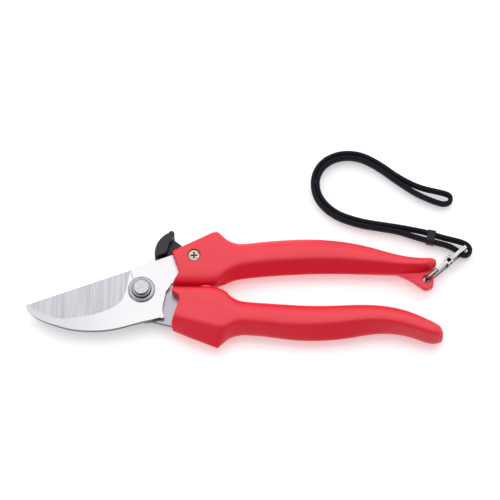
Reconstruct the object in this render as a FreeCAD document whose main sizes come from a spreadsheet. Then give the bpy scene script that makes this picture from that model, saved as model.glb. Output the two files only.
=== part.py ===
"""Light bypass pruning shears with moulded grips, a thumb catch and a wrist lanyard on a snap hook.

The blades lie along -X and the grips along +X, closed and latched, on the table plane z = 0.
The origin is on the pivot bolt's axis at table level, and +Z is up through the pivot nut.
Every solid becomes one file in parts/, named after its Label. Sizes are in millimetres.
"""
import FreeCAD, Part, Sketcher
import math
import os

SIZES = (
    # both grips and both plates
    ("grip_depth", 13.0),
    ("grip_reach", 136.0),
    ("grip_rounding", 2.4),
    ("grip_gap", 1.6),
    ("plate_thickness", 2.4),
    ("plate_gap", 0.1),
    ("blade_reach", 53.0),
    ("heel_radius", 13.2),
    ("grind_width", 14.0),
    ("edge_thickness", 0.5),
    # pivot
    ("pivot_radius", 3.0),
    ("pivot_play", 0.05),
    ("thread_radius", 2.4),
    ("bolt_head_radius", 5.2),
    ("bolt_head_depth", 2.5),
    ("glide_radius", 6.0),
    ("glide_thickness", 0.6),
    ("washer_radius", 6.2),
    ("washer_thickness", 0.8),
    ("nut_radius", 4.6),
    ("nut_depth", 1.8),
    ("crown_radius", 3.65),
    ("crown_depth", 1.5),
    # catch
    ("screw_x", 23.9),
    ("screw_y", 15.4),
    ("screw_radius", 1.45),
    ("screw_head_radius", 2.5),
    ("screw_head_depth", 1.4),
    ("screw_sink", 0.6),
    ("screw_tip_inset", 0.4),
    ("recess_reach", 1.55),
    ("recess_width", 0.7),
    ("recess_depth", 0.98),
    ("head_clearance", 0.3),
    ("insert_radius", 2.3),
    ("insert_depth", 2.6),
    ("insert_sink", 0.6),
    ("bush_radius", 2.2),
    ("bush_play", 0.06),
    ("catch_thickness", 2.0),
    ("catch_eye_radius", 3.7),
    ("catch_washer_radius", 3.4),
    ("catch_washer_thickness", 0.4),
    ("catch_play", 0.2),
    ("catch_web_play", 0.1),
    ("pad_depth", 10.0),
    # opening spring and its stop collar
    ("spring_x", 29.4),
    ("spring_radius", 2.5),
    ("spring_wire", 0.8),
    ("spring_turns", 9.0),
    ("spring_play", 0.4),
    ("spring_end_play", 0.2),
    ("spring_pocket", 7.2),
    ("collar_radius", 3.8),
    ("collar_depth", 2.4),
    ("collar_clearance", 0.3),
    # lug at the end of the upper grip
    ("lug_thickness", 3.2),
    ("lug_hole_radius", 1.8),
    # snap hook
    ("hook_angle", 42.0),
    ("hook_dip", 7.1),
    ("hook_wire", 1.6),
    ("hook_rise", 3.6),
    ("hook_loop", 13.4),
    ("hook_nose", 5.6),
    ("hook_plate", 1.6),
    ("hook_bend", 1.4),
    ("eye_start", 19.2),
    ("eye_length", 4.0),
    ("eye_wall", 0.8),
    ("eye_play", 0.35),
    ("eye_bar", 1.5),
    ("gate_play", 0.3),
    ("gate_cheek", 0.6),
    ("gate_setback", 1.3),
    ("gate_drop", 1.2),
    ("gate_eye_radius", 1.3),
    ("gate_fork", 2.9),
    ("gate_pin_radius", 0.6),
    ("gate_side_play", 0.08),
    ("rivet_head_radius", 1.0),
    ("rivet_head_depth", 0.4),
    # lanyard
    ("strap_width", 4.2),
    ("strap_thickness", 1.9),
    ("strap_lift", 1.65),
    ("keeper_length", 4.2),
    ("keeper_wall", 0.7),
    ("keeper_play", 0.1),
)

# Heights of the two plates' faces, as expressions.
FRONT_BOTTOM = "dims.grip_depth / 2 + dims.plate_gap / 2"
FRONT_TOP = "dims.grip_depth / 2 + dims.plate_gap / 2 + dims.plate_thickness"
REAR_TOP = "dims.grip_depth / 2 - dims.plate_gap / 2"
REAR_BOTTOM = "dims.grip_depth / 2 - dims.plate_gap / 2 - dims.plate_thickness"

# How much of a run a corner's arc takes.
FULL = 0.49
SOFT = 0.4
SLIGHT = 0.15

# Where the outlines below were drawn: they stretch between these places and the sizes above.
GRIP_HEAD_END = 45.0
GRIP_TAIL_START = 112.0
GRIP_END = 136.0
RIM_START = 38.0
BLADE_ROOT = -10.0
BLADE_END = -53.0
GAP_Y = 1.5
KEEPER_ACROSS = (133.4, 28.9)

# Centreline of the lanyard's braid, from the keeper round the hook's eye, along the outer strand,
# round both bends and back into the keeper. The strands lie side by side.
STRAP_ROUTE = (
    (132.6, 25.4),
    (137.4, 24.2),
    (141.6, 22.9),
    (145.0, 20.7),
    (147.3, 18.4),
    (150.2, 18.6),
    (151.3, 21.4),
    (149.3, 23.9),
    (145.8, 25.3),
    (138.4, 27.1),
    (130.3, 29.9),
    (118.8, 32.5),
    (109.2, 34.0),
    (100.2, 35.6),
    (89.4, 39.6),
    (82.4, 46.9),
    (80.9, 55.4),
    (84.3, 62.4),
    (91.2, 66.4),
    (99.9, 66.2),
    (108.6, 61.6),
    (117.8, 54.4),
    (127.2, 48.4),
    (135.6, 44.6),
    (140.2, 43.4),
    (142.9, 45.2),
    (142.3, 48.2),
    (137.6, 49.6),
    (128.4, 51.7),
    (119.2, 57.0),
    (110.0, 64.4),
    (100.9, 69.3),
    (90.6, 69.6),
    (81.6, 64.7),
    (77.7, 56.0),
    (79.4, 45.6),
    (87.4, 37.2),
    (99.6, 32.9),
    (108.6, 31.4),
    (118.0, 29.8),
    (125.6, 27.4),
    (131.8, 25.6),
)


def make_sheet(doc):
    """Put the driving sizes into a spreadsheet, one alias a row."""
    sheet = doc.addObject("Spreadsheet::Sheet", "dims")
    for row, (alias, value) in enumerate(SIZES, start=1):
        sheet.set(f"A{row}", alias)
        sheet.set(f"B{row}", str(value))
        sheet.setAlias(f"B{row}", alias)
    doc.recompute()
    return sheet


def vec(x, y, z=0.0):
    return FreeCAD.Vector(x, y, z)


def line(a, b):
    return Part.LineSegment(vec(*a), vec(*b))


def lines(points):
    """Straight edges from each point to the next."""
    return [line(a, b) for a, b in zip(points, points[1:])]


def arc(a, middle, b):
    return Part.Arc(vec(*a), vec(*middle), vec(*b))


def curve(points):
    """One smooth curve through the points."""
    spline = Part.BSplineCurve()
    spline.interpolate([vec(*point) for point in points])
    return spline


def circle(centre, radius):
    return Part.Circle(vec(*centre), vec(0, 0, 1), radius)


def stretch_grip(dims, points):
    """Spread the points between head and tail, and shift the tail, so that the grip ends at grip_reach."""
    moved = []
    for x, y in points:
        share = (x - GRIP_HEAD_END) / (GRIP_TAIL_START - GRIP_HEAD_END)
        share = min(max(share, 0.0), 1.0)
        moved.append((x + share * (dims.grip_reach - GRIP_END), y))
    return moved


def stretch_blade(dims, points):
    """Move the points beyond the blade's root so that the blade ends at blade_reach."""
    factor = (-dims.blade_reach - BLADE_ROOT) / (BLADE_END - BLADE_ROOT)
    return [(x if x > BLADE_ROOT else BLADE_ROOT + (x - BLADE_ROOT) * factor, y) for x, y in points]


def ground_plane(body):
    """The body's own XY plane."""
    for feature in body.Origin.OriginFeatures:
        if feature.Role == "XY_Plane":
            return feature
    raise RuntimeError("no XY plane in " + body.Name)


def add_body(doc, name):
    body = doc.addObject("PartDesign::Body", name)
    body.Label = name
    return body


def add_sketch(body, name, geometry, height):
    """A sketch on the body's XY plane, raised to the height that the expression gives."""
    sketch = body.newObject("Sketcher::SketchObject", name)
    sketch.AttachmentSupport = [(ground_plane(body), "")]
    sketch.MapMode = "FlatFace"
    sketch.setExpression("AttachmentOffset.Base.z", height)
    sketch.addGeometry(geometry, False)
    return sketch


def add_pad(body, name, geometry, height, length):
    pad = body.newObject("PartDesign::Pad", name)
    pad.Profile = add_sketch(body, name + "_outline", geometry, height)
    pad.setExpression("Length", length)
    return pad


def add_pocket(body, name, geometry, height, depth):
    """Cut downwards from the height, and make sure that something was removed."""
    before = body.Shape.Volume
    pocket = body.newObject("PartDesign::Pocket", name)
    pocket.Profile = add_sketch(body, name + "_outline", geometry, height)
    pocket.setExpression("Length", depth)
    body.Document.recompute()
    if body.Shape.Volume > before - 1e-3:
        raise RuntimeError(name + " removes nothing")
    return pocket


def add_rounding(body, name, base, expression, wanted):
    """Round the edges of the base feature that the test picks."""
    body.Document.recompute()
    names = [f"Edge{index}" for index, edge in enumerate(base.Shape.Edges, start=1) if wanted(edge)]
    rounding = body.newObject("PartDesign::Fillet", name)
    rounding.Base = (base, names)
    rounding.setExpression("Radius", expression)
    return rounding


def turned(doc, name, steps):
    """A body of discs on the pivot axis, each (radius, bottom, depth) given as expressions."""
    body = add_body(doc, name)
    for number, (radius, bottom, depth) in enumerate(steps, start=1):
        pad = body.newObject("PartDesign::Pad", f"{name}_step_{number}")
        sketch = add_sketch(body, f"{name}_circle_{number}", circle((0, 0), 1.0), bottom)
        index = sketch.addConstraint(radius_constraint())
        sketch.setExpression(f"Constraints[{index}]", radius)
        pad.Profile = sketch
        pad.setExpression("Length", depth)
    doc.recompute()
    return body


def radius_constraint():
    """A circle's radius, to be driven by an expression."""
    return Sketcher.Constraint("Radius", 0, 1.0)


def bore(body, name, radius, top, depth):
    """A round pocket on the body's Z axis, sized by expressions."""
    before = body.Shape.Volume
    sketch = add_sketch(body, name + "_circle", circle((0, 0), 1.0), top)
    index = sketch.addConstraint(radius_constraint())
    sketch.setExpression(f"Constraints[{index}]", radius)
    pocket = body.newObject("PartDesign::Pocket", name)
    pocket.Profile = sketch
    pocket.setExpression("Length", depth)
    body.Document.recompute()
    if body.Shape.Volume > before - 1e-3:
        raise RuntimeError(name + " removes nothing")
    return pocket


def upper_edge(dims, x):
    """Height y of the cutting blade's straight edge at x."""
    tip = (-dims.blade_reach, -7.0)
    corner = (12.9, 16.4)
    return tip[1] + (x - tip[0]) * (corner[1] - tip[1]) / (corner[0] - tip[0])


def make_cutting_blade(doc, dims):
    """The upper plate: straight ground edge, convex spine, heel, and a tang in the upper grip."""
    tip = (-dims.blade_reach, upper_edge(dims, -dims.blade_reach))
    spine = [(-52.2, -9.2), (-48.6, -12.7), (-41.0, -16.3), (-33.0, -18.7), (-22.0, -19.7)]
    spine = stretch_blade(dims, spine)
    spine += [(-14.0, -19.1), (-5.4, -17.0), (4.5, -14.4)]
    heel = [(11.0, -1.0), (10.1, -5.6), (9.6, -9.4), (10.4, -13.0)]
    tang = [(13.2, 16.5), (24.0, 19.6), (66.0, 20.0), (66.0, 13.6), (27.0, 12.0), (22.0, 4.4), (13.6, 3.0)]
    outline = [line(tip, (12.9, 16.4))]
    outline += lines([(12.9, 16.4)] + tang + [(12.9, 1.6), heel[0]])
    outline += [curve(heel)]
    outline += [arc(heel[-1], (9.8, -13.6), (8.6, -13.4))]
    outline += [line((8.6, -13.4), spine[-1])]
    outline += [curve([spine[-1]] + spine[-2::-1])]
    outline += [line(spine[0], tip)]
    body = add_body(doc, "cutting_blade")
    add_pad(body, "cutting_plate", outline, FRONT_BOTTOM, "dims.plate_thickness")
    doc.recompute()
    bore(body, "cutting_bore", "dims.pivot_radius", FRONT_TOP, "dims.plate_thickness")
    screw = circle((dims.screw_x, dims.screw_y), dims.screw_radius)
    add_pocket(body, "cutting_screw_hole", [screw], FRONT_TOP, "dims.plate_thickness")
    grind = make_grind(doc, dims)
    cut = doc.addObject("Part::Cut", "cutting_blade_ground")
    cut.Base = body
    cut.Tool = grind
    body.Label = "cutting_blank"
    cut.Label = "cutting_blade"
    return cut


def make_grind(doc, dims):
    """The wedge that the grinding wheel takes off above the cutting edge, as a three-sided prism."""
    tip = vec(-dims.blade_reach, upper_edge(dims, -dims.blade_reach))
    stop = vec(-5.4, upper_edge(dims, -5.4))
    along = (stop - tip).normalize()
    inwards = vec(along.y, -along.x)
    bottom = dims.grip_depth / 2 + dims.plate_gap / 2
    top = bottom + dims.plate_thickness
    slope = (dims.plate_thickness - dims.edge_thickness) / dims.grind_width
    over = 1.0
    low = stop - inwards * over + vec(0, 0, bottom + dims.edge_thickness - over * slope)
    high_out = stop - inwards * over + vec(0, 0, top + over)
    high_in = stop + inwards * (dims.grind_width + over / slope) + vec(0, 0, top + over)
    face = Part.Face(Part.makePolygon([low, high_out, high_in, low]))
    prism = face.extrude(along * -(dims.blade_reach * 1.5))
    feature = doc.addObject("Part::Feature", "grind")
    feature.Shape = prism
    return feature


def rear_back(dims, x):
    """Height y of the counter blade's back, just inside the cutting blade's edge."""
    inset = 1.2
    return upper_edge(dims, x) - inset


def make_counter_blade(doc, dims):
    """The lower plate: slim hooked counter blade, heel with the catch's tooth, tang in the lower grip."""
    nose_x = -dims.blade_reach + 5.0
    back_end = (nose_x + 0.8, rear_back(dims, nose_x + 0.8))
    nose = (nose_x, rear_back(dims, nose_x) - 3.4)
    shoulder = (3.0, rear_back(dims, 3.0))
    radius = dims.heel_radius
    start = (radius * math.cos(math.radians(60)), radius * math.sin(math.radians(60)))
    middle = (radius * math.cos(math.radians(32)), radius * math.sin(math.radians(32)))
    end = (radius * math.cos(math.radians(5)), radius * math.sin(math.radians(5)))
    tooth = (5.6, 12.8)
    throat = (-12.0, -4.6)
    tang = [(13.2, 0.2), (21.0, -1.4), (26.0, -11.0), (66.0, -12.2), (66.0, -18.4)]
    tang += [(24.0, -18.9), (13.8, -16.6)]
    outline = [line(back_end, shoulder)]
    outline += lines([shoulder, tooth, start])
    outline += [arc(start, middle, end)]
    outline += lines([end] + tang + [(4.5, -14.4)])
    outline += [arc((4.5, -14.4), (-6.4, -11.9), throat)]
    outline += [arc(throat, ((throat[0] + nose[0]) / 2, (throat[1] + nose[1]) / 2 + 1.9), nose)]
    outline += [arc(nose, (nose_x - 0.5, nose[1] + 2.0), back_end)]
    body = add_body(doc, "counter_blade")
    add_pad(body, "counter_plate", outline, REAR_BOTTOM, "dims.plate_thickness")
    doc.recompute()
    bore(body, "counter_bore", "dims.pivot_radius + dims.pivot_play", REAR_TOP, "dims.plate_thickness")
    return body


def make_pivot(doc):
    """Bolt, glide washer under the counter blade, washer on the cutting blade and stepped cap nut."""
    glide_bottom = REAR_BOTTOM + " - dims.glide_thickness"
    head_top = glide_bottom + " - dims.pivot_play"
    head_bottom = head_top + " - dims.bolt_head_depth"
    nut_bottom = FRONT_TOP + " + dims.washer_thickness"
    shank = "dims.pivot_play + dims.glide_thickness + 2 * dims.plate_thickness + dims.plate_gap"
    shank += " + dims.washer_thickness"
    bolt = turned(
        doc,
        "pivot_bolt",
        (
            ("dims.bolt_head_radius", head_bottom, "dims.bolt_head_depth"),
            ("dims.pivot_radius", head_top, shank),
            ("dims.thread_radius", nut_bottom, "dims.nut_depth"),
        ),
    )
    glide = turned(doc, "glide_washer", (("dims.glide_radius", glide_bottom, "dims.glide_thickness"),))
    bore(glide, "glide_bore", "dims.pivot_radius + dims.pivot_play", REAR_BOTTOM, "dims.glide_thickness")
    washer = turned(doc, "pivot_washer", (("dims.washer_radius", FRONT_TOP, "dims.washer_thickness"),))
    bore(washer, "washer_bore", "dims.pivot_radius", nut_bottom, "dims.washer_thickness")
    nut = turned(
        doc,
        "pivot_nut",
        (
            ("dims.nut_radius", nut_bottom, "dims.nut_depth"),
            ("dims.crown_radius", nut_bottom + " + dims.nut_depth", "dims.crown_depth"),
        ),
    )
    bore(nut, "nut_bore", "dims.thread_radius", nut_bottom + " + dims.nut_depth", "dims.nut_depth")
    return [bolt, glide, washer, nut]


def smooth_outline(corners):
    """Closed outline of straight runs joined by tangent arcs.

    Each corner is x, y and the share of its shorter run that the arc takes, 0 for a sharp corner.
    """
    places = [vec(x, y) for x, y, share in corners]
    shares = [share for x, y, share in corners]
    count = len(places)
    arcs = []
    for index, here in enumerate(places):
        incoming = here - places[index - 1]
        outgoing = places[(index + 1) % count] - here
        reach = shares[index] * min(incoming.Length, outgoing.Length)
        first = here - incoming.normalize() * reach
        last = here + outgoing.normalize() * reach
        arcs.append((first, tangent_middle(first, here, last), last))
    outline = []
    for index, (first, middle, last) in enumerate(arcs):
        if shares[index] > 0:
            outline.append(Part.Arc(first, middle, last))
        outline.append(Part.LineSegment(last, arcs[(index + 1) % count][0]))
    return outline


def tangent_middle(first, corner, last):
    """Middle point of the arc that leaves one run at first and joins the next at last."""
    if first.distanceToPoint(last) < 1e-9:
        return corner
    half_turn = (corner - first).getAngle(last - corner) / 2
    radius = corner.distanceToPoint(first) / math.tan(half_turn)
    bisector = ((first - corner) + (last - corner)).normalize()
    return corner + bisector * (radius / math.cos(half_turn) - radius)


def stretch_corners(dims, corners):
    moved = stretch_grip(dims, [(x, y) for x, y, share in corners])
    return [(x, y, corner[2]) for (x, y), corner in zip(moved, corners)]


def upper_outline(dims):
    """Side outline of the upper grip: front, apex, back of the grip, end, finger side, gap face."""
    low = GAP_Y + dims.grip_gap / 2
    corners = [(13.6, 18.2, 0), (34.2, 28.6, SLIGHT), (41.6, 21.8, FULL), (58.0, 24.1, FULL)]
    corners += [(80.0, 25.2, FULL), (100.0, 22.6, FULL), (117.0, 17.0, FULL), (127.0, 15.4, FULL)]
    corners += [(134.8, 15.4, SOFT), (134.4, 9.6, SOFT), (125.0, 8.0, FULL), (108.0, 8.8, FULL)]
    corners += [(84.0, 9.6, FULL), (58.0, 8.2, FULL), (42.4, 7.0, FULL), (37.0, low, SOFT)]
    corners += [(13.9, low, 0), (17.2, 7.6, 0)]
    return smooth_outline(stretch_corners(dims, corners))


def lower_outline(dims):
    """Side outline of the lower grip: gap face, finger side, end, back of the grip, apex, notched front."""
    high = GAP_Y - dims.grip_gap / 2
    corners = [(13.9, -1.7, SLIGHT), (14.4, high, 0), (37.0, high, SOFT), (42.4, -5.2, FULL)]
    corners += [(58.0, -6.3, FULL), (80.0, -7.7, FULL), (104.0, -6.5, FULL), (119.0, -8.8, FULL)]
    corners += [(130.0, -13.6, FULL), (136.4, -17.2, SOFT), (137.4, -24.4, SOFT), (131.6, -25.6, SOFT)]
    corners += [(120.0, -21.0, FULL), (107.0, -20.2, FULL), (90.0, -23.6, FULL), (72.0, -24.2, FULL)]
    corners += [(54.0, -21.4, FULL), (41.8, -21.0, FULL), (34.8, -27.6, 0), (14.4, -19.4, SLIGHT)]
    corners += [(13.8, -16.2, SLIGHT), (17.2, -6.4, SOFT), (17.0, -3.6, SOFT)]
    return smooth_outline(stretch_corners(dims, corners))


def is_grip_rim(edge):
    """Whether the edge runs round the grip behind its apex, in the top or the bottom face."""
    return edge.BoundBox.ZLength < 1e-4 and edge.BoundBox.XMax > RIM_START


def over_mould(doc, name, blank, plate):
    """The plastic is moulded round the plate's tang, so the plate is cut out of it."""
    cut = doc.addObject("Part::Cut", name + "_moulded")
    cut.Base = blank
    cut.Tool = plate
    blank.Label = name + "_blank"
    cut.Label = name
    return cut


def lug_centre(dims):
    """The lug's hole, set in from the end of the upper grip."""
    return stretch_grip(dims, [(130.4, 5.3)])[0]


def make_upper_handle(doc, dims, plate):
    """Upper grip: lug, slot for the catch, screw seat and spring pocket, moulded on the cutting blade."""
    body = add_body(doc, "upper_handle")
    grip = add_pad(body, "upper_grip", upper_outline(dims), "0", "dims.grip_depth")
    add_rounding(body, "upper_rounding", grip, "dims.grip_rounding", is_grip_rim)
    lug_bottom = "(dims.grip_depth - dims.lug_thickness) / 2"
    lug = [(119.0, 11.0), (121.5, 6.4), (126.0, 2.6), (130.2, 0.2), (133.6, 2.2), (133.4, 12.0)]
    lug = stretch_grip(dims, lug)
    web = lines(lug[:3])
    web += [arc(lug[2], lug[3], lug[4])]
    web += lines([lug[4], lug[5], lug[0]])
    add_pad(body, "lug_web", web, lug_bottom, "dims.lug_thickness")
    doc.recompute()
    hole = circle(lug_centre(dims), dims.lug_hole_radius)
    add_pocket(body, "lug_hole", [hole], lug_bottom + " + dims.lug_thickness", "dims.lug_thickness")
    slot = lines([(10.0, 13.8), (28.8, 9.9), (28.8, 19.6), (22.4, 26.0), (10.0, 26.0), (10.0, 13.8)])
    slot_depth = "dims.catch_thickness + dims.catch_washer_thickness + dims.catch_play"
    add_pocket(body, "catch_slot", slot, FRONT_BOTTOM, slot_depth)
    place = (dims.screw_x, dims.screw_y)
    seat = circle(place, dims.screw_head_radius + dims.head_clearance)
    seat_depth = "dims.screw_sink + dims.screw_head_depth"
    add_pocket(body, "screw_seat", [seat], "dims.grip_depth", seat_depth)
    add_pocket(body, "screw_hole", [circle(place, dims.screw_radius)], "dims.grip_depth", "dims.grip_depth")
    insert_top = "dims.insert_sink + dims.insert_depth"
    add_pocket(body, "insert_bore", [circle(place, dims.insert_radius)], insert_top, insert_top)
    pocket = spring_pocket(doc, dims, "upper_spring_pocket", GAP_Y, 1)
    drilled = doc.addObject("Part::Cut", "upper_drilled")
    drilled.Base = body
    drilled.Tool = pocket
    body.Label = "upper_grip_blank"
    return over_mould(doc, "upper_handle", drilled, plate)


def spring_pocket(doc, dims, name, start, side):
    """A round pocket across the gap's middle into one handle head: side 1 is up, -1 is down."""
    tool = doc.addObject("Part::Cylinder", name)
    tool.setExpression("Radius", "dims.spring_radius + dims.spring_play")
    tool.setExpression("Height", "dims.spring_pocket + dims.grip_gap / 2")
    turn = FreeCAD.Rotation(vec(1, 0, 0), -90.0 * side)
    tool.Placement = FreeCAD.Placement(vec(dims.spring_x, start, dims.grip_depth / 2), turn)
    return tool


def make_lower_handle(doc, dims, plate):
    """Lower grip: seat for the stop collar and spring pocket, moulded on the counter blade."""
    body = add_body(doc, "lower_handle")
    grip = add_pad(body, "lower_grip", lower_outline(dims), "0", "dims.grip_depth")
    add_rounding(body, "lower_rounding", grip, "dims.grip_rounding", is_grip_rim)
    doc.recompute()
    pocket = spring_pocket(doc, dims, "lower_spring_pocket", GAP_Y, -1)
    seat = doc.addObject("Part::Cylinder", "collar_seat")
    seat.setExpression("Radius", "dims.collar_radius")
    seat.setExpression("Height", "dims.grip_gap / 2 + dims.collar_depth")
    turn = FreeCAD.Rotation(vec(1, 0, 0), 90.0)
    seat.Placement = FreeCAD.Placement(vec(dims.spring_x, GAP_Y, dims.grip_depth / 2), turn)
    tools = doc.addObject("Part::Fuse", "lower_bores")
    tools.Base = pocket
    tools.Tool = seat
    drilled = doc.addObject("Part::Cut", "lower_drilled")
    drilled.Base = body
    drilled.Tool = tools
    body.Label = "lower_grip_blank"
    return over_mould(doc, "lower_handle", drilled, plate)


def make_stop_collar(doc, dims):
    """The raised ring in the gap: it guides the spring and stops the upper grip."""
    ring = doc.addObject("Part::Cylinder", "collar_ring")
    ring.setExpression("Radius", "dims.collar_radius")
    ring.setExpression("Height", "dims.collar_depth + dims.grip_gap - dims.collar_clearance")
    hole = doc.addObject("Part::Cylinder", "collar_hole")
    hole.setExpression("Radius", "dims.spring_radius + dims.spring_play")
    hole.setExpression("Height", "dims.collar_depth + dims.grip_gap - dims.collar_clearance")
    turn = FreeCAD.Rotation(vec(1, 0, 0), 90.0)
    top = GAP_Y + dims.grip_gap / 2 - dims.collar_clearance
    for solid in (ring, hole):
        solid.Placement = FreeCAD.Placement(vec(dims.spring_x, top, dims.grip_depth / 2), turn)
    collar = doc.addObject("Part::Cut", "stop_collar")
    collar.Base = ring
    collar.Tool = hole
    collar.Label = "stop_collar"
    return collar


def make_opening_spring(doc, dims):
    """Coil compression spring from the bottom of one pocket to the bottom of the other."""
    length = 2 * (dims.spring_pocket - dims.spring_end_play) + dims.grip_gap - dims.spring_wire
    mean = dims.spring_radius - dims.spring_wire / 2
    helix = Part.makeHelix(length / dims.spring_turns, length, mean)
    section = Part.Wire(Part.makeCircle(dims.spring_wire / 2, vec(mean, 0, 0), vec(0, 1, 0)))
    coil = Part.Wire(helix.Edges).makePipeShell([section], True, True)
    spring = doc.addObject("Part::Feature", "opening_spring")
    spring.Label = "opening_spring"
    spring.Shape = coil
    turn = FreeCAD.Rotation(vec(1, 0, 0), 90.0)
    top = GAP_Y + dims.grip_gap / 2 + dims.spring_pocket - dims.spring_end_play - dims.spring_wire / 2
    spring.Placement = FreeCAD.Placement(vec(dims.spring_x, top, dims.grip_depth / 2), turn)
    return spring


def place_on_screw(dims, body):
    body.Placement = FreeCAD.Placement(vec(dims.screw_x, dims.screw_y, 0), FreeCAD.Rotation())


def make_catch_fasteners(doc, dims):
    """Screw with a cross recess, threaded insert, bush and spring washer, all on the catch's axis."""
    head_bottom = "dims.grip_depth - dims.screw_sink - dims.screw_head_depth"
    insert_bottom = "dims.insert_sink"
    tip = insert_bottom + " + dims.screw_tip_inset"
    screw = turned(
        doc,
        "catch_screw",
        (
            ("dims.screw_radius", tip, head_bottom + " - dims.insert_sink - dims.screw_tip_inset"),
            ("dims.screw_head_radius", head_bottom, "dims.screw_head_depth"),
        ),
    )
    half_slot = dims.recess_width / 2
    reach = dims.recess_reach
    cross = [(-reach, -half_slot), (-half_slot, -half_slot), (-half_slot, -reach), (half_slot, -reach)]
    cross += [(half_slot, -half_slot), (reach, -half_slot), (reach, half_slot), (half_slot, half_slot)]
    cross += [(half_slot, reach), (-half_slot, reach), (-half_slot, half_slot), (-reach, half_slot)]
    recess = lines(cross + cross[:1])
    add_pocket(screw, "cross_recess", recess, "dims.grip_depth - dims.screw_sink", "dims.recess_depth")
    insert = turned(doc, "catch_insert", (("dims.insert_radius", insert_bottom, "dims.insert_depth"),))
    insert_top = insert_bottom + " + dims.insert_depth"
    bore(insert, "insert_thread", "dims.screw_radius", insert_top, "dims.insert_depth")
    slot_depth = "dims.catch_thickness + dims.catch_washer_thickness + dims.catch_play"
    slot_floor = FRONT_BOTTOM + " - dims.catch_thickness - dims.catch_washer_thickness - dims.catch_play"
    bush = turned(doc, "catch_bush", (("dims.bush_radius", slot_floor, slot_depth),))
    bore(bush, "bush_bore", "dims.screw_radius", FRONT_BOTTOM, slot_depth)
    washer_bottom = FRONT_BOTTOM + " - dims.catch_washer_thickness"
    spring = ("dims.catch_washer_radius", washer_bottom, "dims.catch_washer_thickness")
    washer = turned(doc, "catch_washer", (spring,))
    bore(washer, "catch_washer_bore", "dims.bush_radius", FRONT_BOTTOM, "dims.catch_washer_thickness")
    for body in (screw, insert, bush, washer):
        place_on_screw(dims, body)
    return [screw, insert, bush, washer]


def make_catch_lever(doc, dims):
    """Thumb catch: eye on the bush, web through the slot, nose under the blade and a thick thumb pad."""
    bottom = FRONT_BOTTOM + " - dims.catch_washer_thickness - dims.catch_web_play - dims.catch_thickness"
    eye = (dims.screw_x, dims.screw_y)
    round_end = dims.catch_eye_radius
    web = lines([(eye[0], eye[1] - round_end), (14.2, 13.6), (11.6, 12.4), (8.9, 12.3)])
    web += lines([(8.9, 12.3), (8.2, 13.4), (7.4, 15.8)])
    web += lines([(7.4, 15.8), (9.5, 19.2), (12.6, 24.4), (14.6, 25.0), (20.0, 20.8)])
    web += lines([(20.0, 20.8), (eye[0], eye[1] + round_end)])
    web += [arc((eye[0], eye[1] + round_end), (eye[0] + round_end, eye[1]), (eye[0], eye[1] - round_end))]
    body = add_body(doc, "catch_lever")
    add_pad(body, "catch_web", web, bottom, "dims.catch_thickness")
    pad_bottom = "(dims.grip_depth - dims.pad_depth) / 2"
    pad = [arc((6.0, 15.1), (6.9, 21.4), (12.2, 26.8))]
    pad += [arc((12.2, 26.8), (14.3, 27.4), (14.5, 25.4))]
    pad += [arc((14.5, 25.4), (12.6, 21.9), (11.4, 17.2))]
    pad += [line((11.4, 17.2), (6.0, 15.1))]
    block = add_pad(body, "thumb_pad", pad, pad_bottom, "dims.pad_depth")
    doc.recompute()
    hole = circle(eye, dims.bush_radius + dims.bush_play)
    add_pocket(body, "catch_bore", [hole], bottom + " + dims.catch_thickness", "dims.catch_thickness")
    return body


def hook_place(dims):
    """The snap hook's own frame: x along it from the lug's hole, y across, z up, dipped and turned."""
    x, y = lug_centre(dims)
    turn = FreeCAD.Rotation(vec(0, 0, 1), dims.hook_angle)
    dip = FreeCAD.Rotation(vec(0, 1, 0), dims.hook_dip)
    return FreeCAD.Placement(vec(x, y, dims.grip_depth / 2), turn.multiply(dip))


def upright_face(points):
    """A face in the hook's x-z plane from corner points."""
    corners = [vec(x, 0, z) for x, z in points]
    return Part.Face(Part.makePolygon(corners + corners[:1]))


def slab(points, thickness):
    """A flat plate in the hook's x-z plane, centred on y = 0."""
    solid = upright_face(points).extrude(vec(0, thickness, 0))
    solid.translate(vec(0, -thickness / 2, 0))
    return solid


def gate_pivot(dims):
    """The gate's axis in the hook's x-z plane."""
    return (dims.hook_loop + dims.gate_setback, dims.hook_rise - dims.gate_drop)


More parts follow.
